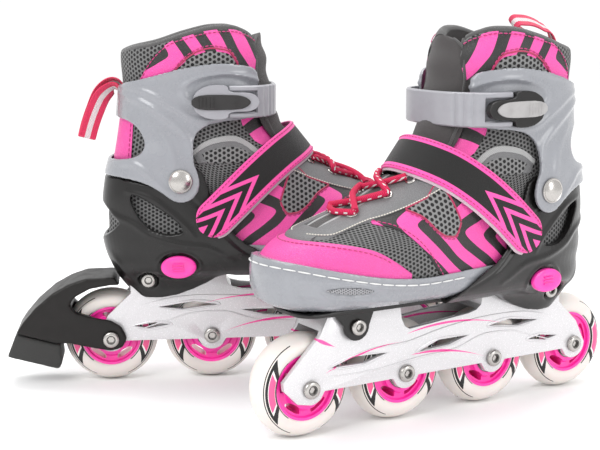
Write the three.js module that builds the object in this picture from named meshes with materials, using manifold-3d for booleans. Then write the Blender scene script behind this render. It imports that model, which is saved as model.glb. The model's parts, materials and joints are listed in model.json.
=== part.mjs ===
// A pair of adjustable inline skates: two mirrored four-wheel skates, the right one with a heel brake.
// Millimetres, +Z up. Each skate is modelled as a left skate in its own frame: +X to the toe, +Y to the
// outer side of the foot, and its origin on the floor below the rear axle. The right skate mirrors it.
import * as THREE from "three";
import { mergeVertices } from "three/addons/utils/BufferGeometryUtils.js";
import Module from "manifold-3d";

const wasm = await Module();
wasm.setup();

// ---- Driving dimensions -------------------------------------------------------------------------
const WHEEL_RADIUS = 35;
const WHEEL_WIDTH = 24;
const AXLE_PITCH = 75;
const AXLE_COUNT = 4;
const AXLE_RADIUS = 3.9;
const BEARING_RADIUS = 11;
const FRAME_WALL = 3.7;
const WHEEL_SIDE_GAP = 0.8;
const WHEEL_TOP_GAP = 2;
const HEAD_RADIUS = 6;
const HEAD_HEIGHT = 2.6;
const FIT = 0.4; // clearance between two pieces that seat on each other
const BORE_GAP = 0.35; // clearance round a shaft
const SIZE_TRAVEL = 10; // how far the toe shell slides each way from its middle shoe size
const BUTTON_TRAVEL = 2;
const CUFF_FLEX = 8; // degrees that the cuff leans forward from its rear stop
const RIGHT_PLACE = { x: -142.3, y: 10, turn: 6.5 }; // where each skate's rear axle stands, and its heading
const LEFT_PLACE = { x: 191.5, y: -8, turn: 211 };

// Heights named h are above the plane of the wheel tops, so the boot stays on its frame for any wheel.
const WHEEL_TOP = 2 * WHEEL_RADIUS;
const CHANNEL = WHEEL_WIDTH / 2 + WHEEL_SIDE_GAP; // half the gap between the frame's side plates
const FRAME_HALF = CHANNEL + FRAME_WALL;
const FRAME_DECK_H = 12.2; // top of the frame, where the sole plate rests
const PLATE_H = FRAME_DECK_H + FIT; // underside of the sole plate
const PLATE_THICK = 3.9;
const SKIRT_HALF = FRAME_HALF + FIT; // inner half width of the shell's skirt and lugs
const PIVOT = { x: 52.5, h: 85.5 }; // ankle pivot of the cuff
const RIVET_RADIUS = 8.5;
const RIVET_SHANK = 3.6;
const REAR_BOLT = { x: 28.3, h: 9.2 };
const FRONT_BOLT = { x: 192, h: 3.2 };
const BOLT_HEAD = 5.4;
const BOLT_SHANK = 3;
const BUTTON = { x: 50.4, h: 22.5, long: 12.8, high: 8.2, face: 43.6, seat: 38 };
const LUG_THICK = 3.6;
const ROUND = 10; // sides of a small round piece

// ---- Solids and profiles ------------------------------------------------------------------------
// A closed three.js geometry as a manifold-3d solid.
function solid(geometry) {
  const bare = geometry.clone();
  bare.deleteAttribute("normal");
  bare.deleteAttribute("uv");
  const merged = mergeVertices(bare, 1e-4);
  return new wasm.Manifold(
    new wasm.Mesh({
      numProp: 3,
      vertProperties: new Float32Array(merged.attributes.position.array),
      triVerts: new Uint32Array(merged.index.array),
    }),
  );
}

// A manifold-3d solid as a three.js geometry with flat faces.
function geometryOf(made) {
  const mesh = made.getMesh();
  const positions = new Float32Array(mesh.numVert * 3);
  for (let i = 0; i < mesh.numVert; i++) {
    positions.set(mesh.vertProperties.subarray(i * mesh.numProp, i * mesh.numProp + 3), i * 3);
  }
  const indexed = new THREE.BufferGeometry()
    .setAttribute("position", new THREE.BufferAttribute(positions, 3))
    .setIndex(new THREE.BufferAttribute(new Uint32Array(mesh.triVerts), 1));
  const flat = indexed.toNonIndexed();
  flat.computeVertexNormals();
  return flat;
}

// Closed mesh through rings of equal point counts, each ring an array of Vector3, with flat ends.
function loft(rings) {
  const sides = rings[0].length;
  const centre = (ring) => ring.reduce((sum, p) => sum.add(p), new THREE.Vector3()).divideScalar(sides);
  const points = [...rings.flat(), centre(rings[0]), centre(rings.at(-1))];
  const first = points.length - 2;
  const last = points.length - 1;
  const faces = [];
  for (let r = 0; r + 1 < rings.length; r++) {
    for (let s = 0; s < sides; s++) {
      const a = r * sides + s;
      const b = r * sides + ((s + 1) % sides);
      faces.push(a, b, b + sides, a, b + sides, a + sides);
    }
  }
  const top = (rings.length - 1) * sides;
  for (let s = 0; s < sides; s++) {
    const next = (s + 1) % sides;
    faces.push(first, next, s, last, top + s, top + next);
  }
  return new THREE.BufferGeometry().setFromPoints(points).setIndex(faces);
}

// A side-view outline in X and Z, as a solid from y0 to y1.
function plate(shape, y0, y1, curveSegments = 8) {
  const depth = y1 - y0;
  const geometry = new THREE.ExtrudeGeometry(shape, { depth, bevelEnabled: false, curveSegments });
  return solid(geometry.rotateX(Math.PI / 2).translate(0, y1, 0));
}

function shapeOf(points) {
  return new THREE.Shape(points.map(([x, z]) => new THREE.Vector2(x, z)));
}

function block(x0, x1, y0, y1, z0, z1) {
  const box = new THREE.BoxGeometry(x1 - x0, y1 - y0, z1 - z0);
  return solid(box.translate((x0 + x1) / 2, (y0 + y1) / 2, (z0 + z1) / 2));
}

// A round bar across the skate, from y0 to y1.
function bar(radius, x, z, y0, y1, sides = ROUND) {
  const cylinder = new THREE.CylinderGeometry(radius, radius, y1 - y0, sides);
  return solid(cylinder.translate(x, (y0 + y1) / 2, z));
}

// A lathe about the Y axis from [radius, y] pairs, which close on themselves or start and end on the axis.
function turned(profile, sides = ROUND) {
  return solid(new THREE.LatheGeometry(profile.map(([r, y]) => new THREE.Vector2(r, y)), sides));
}

// ---- Forms: horizontal sections that a shell or a boot is cut from -------------------------------
// Each row: h, back, front, widest x, half width, roundness of the back half, roundness of the front half.
const BOOT_FORM = [
  [20, 10, 236, 150, 33, 2.8, 2.3],
  [26, 3, 247, 156, 38, 2.7, 2.3],
  [36, -0.5, 252, 160, 41, 2.6, 2.3],
  [48, 0, 249, 157, 41.3, 2.6, 2.3],
  [58, 0, 239, 148, 40.3, 2.6, 2.3],
  [66, 1, 220, 125, 39.3, 2.6, 2.3],
  [75, 1.5, 193, 102, 38.7, 2.5, 2.2],
  [86, 2.5, 168, 87, 38.3, 2.5, 2.2],
  [99, 5.5, 147, 76, 37.8, 2.5, 2.2],
  [118, 9, 122, 66, 37, 2.4, 2.2],
  [145, 12.5, 115, 63, 36.9, 2.4, 2.2],
  [172, 12.5, 113.5, 62, 37.3, 2.4, 2.2],
  [187, 16, 109, 62, 36, 2.4, 2.2],
  [199, 22, 104, 62, 33, 2.4, 2.2],
];
const SHELL_FORM = [
  [-4.5, 20, 236, 130, 22, 6, 4],
  [4, 12, 236, 130, 23.5, 6, 4],
  [11, 6.5, 236, 130, 28, 5, 4],
  [19, 2, 236, 130, 39, 3.6, 4],
  [27, -2, 236, 130, 44.5, 2.7, 4],
  [40, -5, 236, 130, 46.6, 2.5, 4],
  [54, -5.2, 214, 112, 45, 2.5, 4],
  [66, -4.7, 178, 87, 42.8, 2.5, 4],
  [98, 0, 150, 75, 41.4, 2.5, 3],
];
const TOE_FORM = [
  [16.8, 20, 236, 160, 30, 3, 2.5],
  [21, 10, 248, 160, 38, 3, 2.4],
  [29, 2, 254.5, 161, 42.6, 2.7, 2.3],
  [40, -3, 256, 162, 44.5, 2.6, 2.3],
  [56, -3, 254, 158, 44.4, 2.6, 2.3],
];
const CUFF_FORM = [
  [60, -1, 150, 75, 43.8, 2.5, 2.4],
  [88, 0.4, 132, 72, 43.6, 2.5, 2.4],
  [101, 4, 127, 68, 43, 2.5, 2.4],
  [117, 7.5, 124, 65, 39.6, 2.4, 2.3],
  [145, 11, 122, 63, 38.8, 2.4, 2.3],
  [172, 12, 120, 62, 38.8, 2.4, 2.3],
];
const CUFF_WALL = 2.8;

// The form's row at height h, between its stations.
function sectionAt(form, h) {
  const above = Math.max(1, form.findIndex((row) => row[0] >= h));
  const upper = form[above === 1 && h > form[1][0] ? form.length - 1 : above];
  const lower = form[form.indexOf(upper) - 1];
  const share = (h - lower[0]) / (upper[0] - lower[0]);
  return lower.map((value, i) => value + (upper[i] - value) * share);
}

function signedPower(value, power) {
  return Math.sign(value) * Math.abs(value) ** power;
}

// A point of the section on the outer side, at angle 0 to the toe and 180 to the heel.
function sectionPoint(form, h, angle, grow = 0) {
  const [, back, front, middle, half, backPower, frontPower] = sectionAt(form, h);
  const c = Math.cos(angle);
  const s = Math.sin(angle);
  const power = 2 / (c < 0 ? backPower : frontPower);
  const reach = c < 0 ? middle - back + grow : front - middle + grow;
  const x = middle + reach * signedPower(c, power);
  return new THREE.Vector3(x, (half + grow) * signedPower(s, power), WHEEL_TOP + h);
}

// Half width of a form at x and height h.
function halfWidth(form, x, h, grow = 0) {
  const [, back, front, middle, half, backPower, frontPower] = sectionAt(form, h);
  const reach = x < middle ? middle - back + grow : front - middle + grow;
  const power = x < middle ? backPower : frontPower;
  const share = Math.min(1, Math.abs(x - middle) / reach);
  return (half + grow) * (1 - share ** power) ** (1 / power);
}

// The solid of a form, grown sideways by grow, from height h0 to h1.
function formSolid(form, { grow = 0, h0 = form[0][0], h1 = form.at(-1)[0], sides = 20 } = {}) {
  const inner = form.map((row) => row[0]).filter((h) => h > h0 + 1 && h < h1 - 1);
  const rings = [h0, ...inner, h1].map((h) =>
    Array.from({ length: sides }, (_, i) => sectionPoint(form, h, (2 * Math.PI * i) / sides, grow)),
  );
  return solid(loft(rings));
}

// A side-view outline whose second coordinate is a height above the wheel tops, as a cutting solid.
const OVER = 80; // beyond the widest piece on each side
function outline(points, y0 = -OVER, y1 = OVER) {
  return plate(shapeOf(points.map(([x, h]) => [x, WHEEL_TOP + h])), y0, y1);
}

// ---- Wheels, bearings and axles -----------------------------------------------------------------
const axleX = (i) => i * AXLE_PITCH;
const WHEEL_SIDES = 16;
const WINDOWS = 5;

function wheelSolid() {
  const half = WHEEL_WIDTH / 2;
  const seat = BEARING_RADIUS + FIT;
  const tread = [
    [WHEEL_RADIUS - 8, half],
    [WHEEL_RADIUS - 2.6, half * 0.62],
  ];
  const right = [[seat, half], ...tread];
  const left = right.map(([r, y]) => [r, -y]).reverse();
  const disc = turned([...right, [WHEEL_RADIUS, 0], ...left, right[0]].reverse(), WHEEL_SIDES);
  return Array.from({ length: WINDOWS }, (_, i) => (2 * Math.PI * i) / WINDOWS).reduce(
    (wheel, turn) => wheel.subtract(spokeWindow(turn)),
    disc,
  );
}

// One opening between the hub's spokes.
function spokeWindow(turn) {
  const near = BEARING_RADIUS + 2.4;
  const far = WHEEL_RADIUS - 13;
  const corner = (radius, angle) => [radius * Math.cos(turn + angle), radius * Math.sin(turn + angle)];
  const points = [corner(near, -0.34), corner(far, -0.42), corner(far, 0.42), corner(near, 0.34)];
  return plate(shapeOf(points), -WHEEL_WIDTH, WHEEL_WIDTH);
}

// A wheel's pair of bearings with the tube between them, as one sleeve in the hub.
function bearingSolid() {
  const bore = AXLE_RADIUS + BORE_GAP;
  const half = WHEEL_WIDTH / 2;
  return turned([[bore, half], [bore, -half], [BEARING_RADIUS, -half], [BEARING_RADIUS, half], [bore, half]]);
}

// A bolt across the skate with a low domed head with a hexagon socket at each end, seated at y = +-seat.
function crossBolt(shank, head, seat) {
  const height = HEAD_HEIGHT;
  const upper = [[shank, seat], [head, seat], [head * 0.86, seat + height], [0, seat + height]];
  const lower = upper.map(([r, y]) => [r, -y]).reverse();
  const body = turned([...lower, ...upper]);
  const socket = new THREE.CylinderGeometry(head * 0.45, head * 0.45, height, 6);
  const end = seat + height;
  return body
    .subtract(solid(socket.clone().translate(0, end, 0)))
    .subtract(solid(socket.clone().translate(0, -end, 0)));
}

// ---- Frame --------------------------------------------------------------------------------------
const AXLE_Z = WHEEL_RADIUS;
const BULGE = 10.5; // frame metal below and round each axle
const RAIL_DROP = 2.5; // how far the rail's lower edge is below the axles between wheels
const REAR_DECK = { x0: 15, x1: 86 };
const FRONT_DECK = { x0: 155.5, x1: 212 };

function frameSolid() {
  const deck = WHEEL_TOP + FRAME_DECK_H;
  const last = axleX(AXLE_COUNT - 1);
  const shape = new THREE.Shape();
  shape.moveTo(-BULGE, AXLE_Z + 4);
  shape.absarc(0, AXLE_Z, BULGE, Math.PI, 1.5 * Math.PI, false);
  for (let i = 0; i < AXLE_COUNT; i++) {
    if (i > 0) {
      shape.lineTo(axleX(i) - BULGE, AXLE_Z - RAIL_DROP);
      shape.absarc(axleX(i), AXLE_Z, BULGE, 1.25 * Math.PI, 1.5 * Math.PI, false);
    }
    if (i < AXLE_COUNT - 1) {
      shape.absarc(axleX(i), AXLE_Z, BULGE, 1.5 * Math.PI, 1.75 * Math.PI, false);
      shape.lineTo(axleX(i) + BULGE, AXLE_Z - RAIL_DROP);
    }
  }
  shape.lineTo(last + 10, AXLE_Z - 8.5);
  shape.lineTo(last + 20, AXLE_Z + 1.5);
  shape.lineTo(last + 20.5, AXLE_Z + 7);
  shape.lineTo(FRONT_DECK.x1 + 6.5, deck - 13);
  shape.lineTo(FRONT_DECK.x1, deck);
  shape.lineTo(FRONT_DECK.x0, deck);
  shape.quadraticCurveTo(FRONT_DECK.x0 - 1, deck - 16, FRONT_DECK.x0 - 8, deck - 17);
  shape.lineTo(REAR_DECK.x1 + 12, deck - 12.5);
  shape.quadraticCurveTo(REAR_DECK.x1 - 1, deck - 11, REAR_DECK.x1, deck - 3);
  shape.lineTo(REAR_DECK.x1, deck);
  shape.lineTo(REAR_DECK.x0, deck);
  shape.lineTo(REAR_DECK.x0, deck - 14);
  shape.lineTo(-2, AXLE_Z + 17);
  const slots = frameSlots().map((points) => plate(shapeOf(points), -OVER, OVER));
  let frame = plate(shape, -FRAME_HALF, FRAME_HALF, 3);
  frame = frame.subtract(block(-OVER, 5 * AXLE_PITCH, -CHANNEL, CHANNEL, 0, WHEEL_TOP + WHEEL_TOP_GAP));
  slots.forEach((slot) => (frame = frame.subtract(slot)));
  for (let i = 0; i < AXLE_COUNT; i++) {
    frame = frame.subtract(bar(AXLE_RADIUS + BORE_GAP, axleX(i), AXLE_Z, -OVER, OVER, 8));
  }
  for (const bolt of [REAR_BOLT, FRONT_BOLT]) {
    frame = frame.subtract(bar(BOLT_SHANK + BORE_GAP, bolt.x, WHEEL_TOP + bolt.h, -OVER, OVER, 8));
  }
  return frame;
}

// The leaf-shaped openings in the frame's side plates, as shares of the pitch and heights above the axles.
function frameSlots() {
  const leaf = (x0, z0, x1, z1, rise, sink) => [
    [x0, z0],
    [x0 + (x1 - x0) * 0.4, z0 + (z1 - z0) * 0.4 - sink],
    [x1, z1],
    [x0 + (x1 - x0) * 0.6, z0 + (z1 - z0) * 0.6 + rise],
  ];
  const at = (share) => share * AXLE_PITCH;
  return [
    leaf(at(0.22), AXLE_Z + 8.6, at(0.58), AXLE_Z + 9.2, 2, 2.4),
    leaf(at(0.47), AXLE_Z + 22.6, at(1.06), AXLE_Z + 23.6, 3.2, 2.6),
    leaf(at(1.29), AXLE_Z + 19.4, at(1.87), AXLE_Z + 13.4, 3.6, 2.2),
    leaf(at(2.2), AXLE_Z + 16.4, at(2.8), AXLE_Z + 12.2, 3.4, 3),
  ];
}

// ---- Rigid shells -------------------------------------------------------------------------------
const SKIN_GAP = 0.7; // between the fabric boot and the shell round it
const TOE_GAP = 0.9; // between the toe shell and the shell that it slides in
const TOE_BACK = 92; // rear edge of the toe shell
const TOE_FLOOR_H = PLATE_H + PLATE_THICK + FIT;
const BOOT_FLOOR_H = 20;

// The space that the fabric boot takes up inside the shells.
function bootRoom() {
  return formSolid(BOOT_FORM, { grow: SKIN_GAP, h0: BOOT_FLOOR_H - FIT, h1: 110 });
}

function baseShell() {
  const profile = outline([
    [14, 3], [20, -4.5], [44, -4.5], [68, 4.5], [83, 15], [96, PLATE_H], [236, PLATE_H],
    [236, PLATE_H + PLATE_THICK], [128, PLATE_H + PLATE_THICK], [122, 23.5], [108, 35], [95.5, 41.5],
    [80, 58.5], [72, 80], [67, 95], [42, 96], [36, 80.5], [28, 82], [12, 85.2], [-8, 85.6],
    [-8, 71], [8, 54], [8, 51], [-8, 37], [-8, 18],
  ]);
  let shell = formSolid(SHELL_FORM, { sides: 22 }).intersect(profile);
  shell = shell.subtract(bootRoom());
  const longer = TOE_FORM.map(([h, back, ...rest]) => [h, back - 2 * SIZE_TRAVEL, ...rest]);
  const toeRoom = formSolid(longer, { grow: TOE_GAP, h0: TOE_FLOOR_H - FIT });
  const roomStart = TOE_BACK - SIZE_TRAVEL - 1;
  shell = shell.subtract(toeRoom.intersect(outline([[roomStart, 0], [300, 0], [300, 90], [roomStart, 90]])));
  shell = shell.subtract(outline([[128, PLATE_H - 1], [240, PLATE_H - 1], [240, 80], [128, 80]], 24, OVER));
  shell = shell.subtract(outline([[128, PLATE_H - 1], [240, PLATE_H - 1], [240, 80], [128, 80]], -OVER, -24));
  const tunnel = outline([[REAR_DECK.x0 - FIT, -9], [300, -9], [300, PLATE_H], [REAR_DECK.x0 - FIT, PLATE_H]],
    -SKIRT_HALF, SKIRT_HALF);
  shell = shell.subtract(tunnel);
  const window = shellWindow();
  shell = shell.subtract(outline(window));
  for (const side of [1, -1]) {
    shell = shell.add(frontLug(side));
  }
  shell = shell.add(buttonBoss()).subtract(buttonPocket());
  for (const { x, h } of [REAR_BOLT, FRONT_BOLT]) {
    shell = shell.subtract(bar(BOLT_SHANK + BORE_GAP, x, WHEEL_TOP + h, -OVER, OVER, 8));
    for (const side of [1, -1]) {
      const [y0, y1] = side > 0 ? [boltSeat(), OVER] : [-OVER, -boltSeat()];
      shell = shell.subtract(bar(BOLT_HEAD + 1.2, x, WHEEL_TOP + h, y0, y1, ROUND));
    }
  }
  return shell.subtract(bar(RIVET_SHANK + BORE_GAP, PIVOT.x, WHEEL_TOP + PIVOT.h, -OVER, OVER, 8));
}

// The leaf-shaped window over the heel, in side view.
function shellWindow() {
  return [[15, 75], [24, 73], [36, 65.5], [47.5, 57.5], [56, 48], [47, 45.6], [36, 46.6], [27, 52], [20, 61]];
}

const boltSeat = () => SKIRT_HALF + LUG_THICK;

// The ear that the front cross bolt clamps to the frame.
function frontLug(side) {
  const { x, h } = FRONT_BOLT;
  const shape = new THREE.Shape();
  shape.moveTo(x + 19, WHEEL_TOP + PLATE_H + PLATE_THICK / 2);
  shape.lineTo(x - 14, WHEEL_TOP + PLATE_H + PLATE_THICK / 2);
  shape.absarc(x, WHEEL_TOP + h, 9.5, Math.PI, 2 * Math.PI, false);
  const [y0, y1] = side > 0 ? [SKIRT_HALF, boltSeat()] : [-boltSeat(), -SKIRT_HALF];
  return plate(shape, y0, y1);
}

function ellipse(x, z, long, high) {
  return new THREE.Shape().absellipse(x, z, long, high, 0, 2 * Math.PI);
}

function buttonBoss() {
  const { x, h, long, high, seat } = BUTTON;
  return plate(ellipse(x, WHEEL_TOP + h, long + 2.4, high + 2.4), SKIRT_HALF + 4, seat + 1.2, 6).intersect(
    outline([
      [x - 30, BOOT_FLOOR_H - 12], [x + 30, BOOT_FLOOR_H - 12], [x + 30, h + 20], [x - 30, h + 20],
    ], 0),
  ).subtract(bootRoom());
}

function buttonPocket() {
  const { x, h, long, high, seat } = BUTTON;
  const rim = plate(ellipse(x, WHEEL_TOP + h, long + FIT, high + FIT), seat, OVER, 6);
  const stemRoom = bar(
    BUTTON_STEM + FIT, x, WHEEL_TOP + h - BUTTON_STEM_DROP, BUTTON_STEM_END - BUTTON_TRAVEL - 1, OVER,
  );
  return rim.add(stemRoom);
}

const BUTTON_STEM = 3.4;
const BUTTON_STEM_DROP = 4.2;
const BUTTON_STEM_END = 33;

function buttonSolid() {
  const { x, h, long, high, face, seat } = BUTTON;
  const cap = plate(ellipse(x, WHEEL_TOP + h, long, high), seat + BUTTON_TRAVEL + FIT, face, 6);
  return cap.add(bar(BUTTON_STEM, x, WHEEL_TOP + h - BUTTON_STEM_DROP, BUTTON_STEM_END, face - 1, 12));
}

function toeShell() {
  const rim = outline([
    [TOE_BACK, TOE_FLOOR_H], [270, TOE_FLOOR_H], [270, 53], [246, 51.5], [214, 44.5], [180, 38],
    [155, 35.8], [128, 36.8], [106, 38], [TOE_BACK, 38],
  ]);
  return formSolid(TOE_FORM, { h0: TOE_FLOOR_H, sides: 22 })
    .intersect(rim)
    .subtract(bootRoom());
}

function cuffSolid() {
  const outer = formSolid(CUFF_FORM, { grow: CUFF_WALL, sides: 22 });
  const inner = formSolid(CUFF_FORM, { h0: 59, h1: 173, sides: 16 });
  const profile = outline([
    [-8, 87.6], [12, 87], [28, 83.5], [40, 76.5], [48, 70.8], [54, 69.6], [61, 71.3], [66, 79],
    [65.6, 88], [61.4, 100], [61.4, 112.6], [66, 121.6], [78, 127], [106, 129], [109.5, 146], [110, 163],
    [96.5, 167.2], [81.5, 168.3], [59, 165.8], [36.5, 159.9], [8, 153], [0, 140], [-8, 120],
  ]);
  const backOpening = outline([[-20, 97], [10, 99.5], [23.6, 102.7], [28.3, 110], [26.2, 118], [20.3, 125.6],
    [9.9, 129.5], [-20, 130]]);
  const hole = bar(RIVET_SHANK + BORE_GAP, PIVOT.x, WHEEL_TOP + PIVOT.h, -OVER, OVER, 8);
  return outer.subtract(inner).intersect(profile).subtract(backOpening).subtract(hole);
}

const CUFF_INNER_Y = halfWidth(CUFF_FORM, PIVOT.x, PIVOT.h);
const RIVET_SEAT = CUFF_INNER_Y + CUFF_WALL + 2 * FIT;

// The rivet that the cuff turns on: a wide domed head outside the cuff and its shank through both shells.
function rivetSolid() {
  const inside = halfWidth(BOOT_FORM, PIVOT.x, PIVOT.h) + SKIN_GAP + 0.6;
  return turned([
    [0, inside],
    [RIVET_SHANK, inside],
    [RIVET_SHANK, RIVET_SEAT],
    [RIVET_RADIUS, RIVET_SEAT],
    [RIVET_RADIUS * 0.76, RIVET_SEAT + 2.4],
    [0, RIVET_SEAT + 3],
  ], 16);
}

// ---- Soft boot ----------------------------------------------------------------------------------
const FABRIC = 4;
const PADDING = 6.5;
const INSOLE_H = 25; // top of the insole above the wheel tops
// The toe half of the boot parts from the heel half: upright at the floor, then slanting up the instep.
const SPLIT = { x: 93, h: 57, slope: 1.68, gap: SIZE_TRAVEL + 0.6 };
// The leg opening turns with the cuff, so it parts from the heel half along planes through the ankle pivot.
const HEEL_TOP_ANGLE = 18;
const LEG_ANGLE = HEEL_TOP_ANGLE + CUFF_FLEX + 9;

// The parting line's points from height h0 to h1, moved back by a gap.
function splitLine(h0, h1, back = 0) {
  const { x, h, slope } = SPLIT;
  return [[x - back, h0], [x - back, h], [x - back + (h1 - h) * slope, h1]];
}

// Every second row of a form, for a hollow that nobody sees closely.
function coarse(form) {
  return form.filter((_, i) => i % 2 === 0 || i === form.length - 1);
}

function bootHollow(wall, h1) {
  return formSolid(coarse(BOOT_FORM), { grow: -wall, h0: INSOLE_H, h1, sides: 14 });
}

function vampSolid() {
  const region = outline([...splitLine(15, 100), [270, 100], [270, 15]].reverse());
  return formSolid(BOOT_FORM, { h1: 105 }).intersect(region).subtract(bootHollow(FABRIC, 106));
}

function rayFromPivot(angle, length) {
  const turn = (angle * Math.PI) / 180;
  return [PIVOT.x + length * Math.cos(turn), PIVOT.h + length * Math.sin(turn)];
}

function quarterSolid() {
  const ceiling = outline([
    [-20, 15], [260, 15], rayFromPivot(HEEL_TOP_ANGLE, 220), [PIVOT.x + 1, PIVOT.h - 1], [-20, PIVOT.h - 1],
  ]);
  const behind = outline([[-20, 15], ...splitLine(15, 130, SPLIT.gap), [-20, 130]]);
  const outside = formSolid(BOOT_FORM, { h1: 130 });
  return outside.intersect(ceiling).intersect(behind).subtract(bootHollow(FABRIC, 131));
}

const COLLAR_FRONT = 106.5;

function collarSolid() {
  const region = outline([
    [-20, PIVOT.h + 1.2], [PIVOT.x, PIVOT.h + 1.2], rayFromPivot(LEG_ANGLE, (COLLAR_FRONT - PIVOT.x) / 0.798),
    [COLLAR_FRONT, 160], [COLLAR_FRONT, 187], [97, 195], [82, 197], [59, 192.4], [36.6, 184.5], [15, 179],
    [9, 172], [-20, 165],
  ]);
  const opening = formSolid(coarse(BOOT_FORM), { grow: -PADDING, h0: 70, h1: 200, sides: 14 });
  return formSolid(BOOT_FORM, { h0: 80 }).intersect(region).subtract(opening);
}

const TONGUE_FORM = [
  [110, 60, 119, 84, 26, 2.2, 2.2],
  [150, 60, 118, 84, 26, 2.2, 2.2],
  [175, 60, 117, 84, 25, 2.2, 2.2],
  [190, 62, 113, 84, 22, 2.2, 2.2],
];
const TONGUE_THICK = 5;

function tongueSolid() {
  const foot = rayFromPivot(LEG_ANGLE + 0.5, 68);
  const region = outline([foot, rayFromPivot(LEG_ANGLE + 0.5, 110), [160, 200], [foot[0], 200]]);
  const clear = outline([[COLLAR_FRONT + 1, 80], [200, 80], [200, 210], [COLLAR_FRONT + 1, 210]]);
  return formSolid(TONGUE_FORM, { sides: 24 })
    .subtract(formSolid(TONGUE_FORM, { grow: -TONGUE_THICK, h0: 105, h1: 195, sides: 24 }))
    .intersect(region)
    .intersect(clear);
}

// ---- Straps, buckle and lace --------------------------------------------------------------------
// A flat band along a path. Each stop has a place and the direction in which the band is wide.
function band(stops, width, thickness) {
  const rings = stops.map(({ place, wide }, i) => {
    const before = stops[Math.max(0, i - 1)].place;
    const after = stops[Math.min(stops.length - 1, i + 1)].place;
    const along = after.clone().sub(before).normalize();
    const across = wide.clone().addScaledVector(along, -wide.dot(along)).normalize();
    const out = across.clone().cross(along).normalize();
    const corner = (a, b) =>
      place.clone().addScaledVector(across, (a * width) / 2).addScaledVector(out, b * thickness);
    return [corner(-1, 0), corner(-1, 1), corner(1, 1), corner(1, 0)];
  });
  return solid(loft(rings));
}

const POWER_STRAP = { h: 141.5, width: 23, thick: 3, inner: 70, front: 121.5, half: 42.6 };
const FORK = { root: 106, tip: 88, nose: 13.5 };

// The strap's plan: along the cuff's outer side, round the front of the tongue and back along the inner side.
function powerStrapPath() {
  const { h, front, half } = POWER_STRAP;
  const z = WHEEL_TOP + h;
  const bend = 92;
  const round = Array.from({ length: 11 }, (_, i) => (Math.PI * (i - 5)) / 10.5);
  const arc = round.map((a) => [
    bend + (front - bend) * Math.abs(Math.cos(a)) ** (2 / 2.5),
    -half * signedPower(Math.sin(a), 2 / 2.5),
  ]);
  return [[FORK.tip, half], ...arc, [POWER_STRAP.inner, -half]]
    .map(([x, y]) => new THREE.Vector3(x, y, z));
}

function powerStrapSolid() {
  const up = new THREE.Vector3(0, 0, 1);
  const stops = powerStrapPath().map((place) => ({ place, wide: up }));
  const strap = band(stops, POWER_STRAP.width, POWER_STRAP.thick);
  const { h } = POWER_STRAP;
  const slot = FORK.nose / 2 + FIT;
  const notch = outline([[0, h - slot], [FORK.root, h - slot], [FORK.root + 5, h], [FORK.root, h + slot],
    [0, h + slot]], 20, OVER);
  return strap.subtract(notch);
}

const LEVER = { tail: 62, wide: 12.2, tip: 109, depth: 5.2 };

function leverSolid() {
  const { h, half } = POWER_STRAP;
  const { tail, wide, tip } = LEVER;
  const nose = FORK.nose / 2;
  const side = half + 0.4;
  const shape = [
    [tail, h - 5], [tail + 4, h - 8.5], [tail + 9, h - wide + 1], [tail + 14, h - wide],
    [FORK.tip - 1, h - wide],
    [FORK.tip - 1, h - nose], [FORK.root - 2, h - nose], [tip, h - 2.4], [tip, h + 2.4],
    [FORK.root - 2, h + nose], [FORK.tip - 1, h + nose], [FORK.tip - 1, h + wide], [tail + 14, h + wide],
    [tail + 9, h + wide - 1], [tail + 4, h + 8.5], [tail, h + 5],
  ];
  return outline(shape, side, side + LEVER.depth);
}

// The instep strap's centre line: from its free end on the outer side, over the instep, to the inner side.
const INSTEP_STRAP = { width: 27, thick: 3 };
const INSTEP_STOPS = [
  [72, 47.6, 55], [82, 47.6, 64.5], [95, 46, 77], [110, 41, 90.5], [125, 32, 102], [137, 19, 109],
  [143, 0, 112],
];

function instepStrapSolid() {
  const outer = INSTEP_STOPS.map(([x, y, h]) => new THREE.Vector3(x, y, WHEEL_TOP + h));
  const inner = outer.slice(0, -1).reverse().map((p) => new THREE.Vector3(p.x, -p.y, p.z));
  const places = [...outer, ...inner];
  const wide = new THREE.Vector3(-0.62, 0, 0.78);
  return band(places.map((place) => ({ place, wide })), INSTEP_STRAP.width, INSTEP_STRAP.thick);
}

// The lace: it crosses the throat at each pair of eyelets, and passes along the edge from pair to pair.
const LACE_RADIUS = 2.2;
const EYELETS = [
  { x: 181, y: 13, h: 86 },
  { x: 166, y: 14, h: 92.5 },
];

function laceSolid() {
  const points = [];
  EYELETS.forEach(({ x, y, h }, i) => {
    const side = i % 2 === 0 ? 1 : -1;
    const row = [[x, -y * side, h - 1.5], [x + 1, -y * 0.5 * side, h + 2], [x + 2, y * 0.5 * side, h + 2],
      [x, y * side, h - 1.5]];
    points.push(...row.map(([px, py, ph]) => new THREE.Vector3(px, py, WHEEL_TOP + ph)));
  });
  const path = new THREE.CatmullRomCurve3(points);
  const section = new THREE.Shape().absarc(0, 0, LACE_RADIUS, 0, 2 * Math.PI);
  const steps = 7 * EYELETS.length;
  return solid(new THREE.ExtrudeGeometry(section, { steps, extrudePath: path, curveSegments: 3 }));
}

// ---- Heel brake ---------------------------------------------------------------------------------
const BRAKE_HALF = 21;
const BRAKE_PAD_HALF = 17;
const TYRE_GAP = 2;

// The arm follows the axle that it turns round and the wheel and shell that it passes over.
const fromAxle = (points) => points.map(([x, z]) => [x, AXLE_Z + z]);
const fromWheelTop = (points) => points.map(([x, h]) => [x, WHEEL_TOP + h]);

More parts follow.
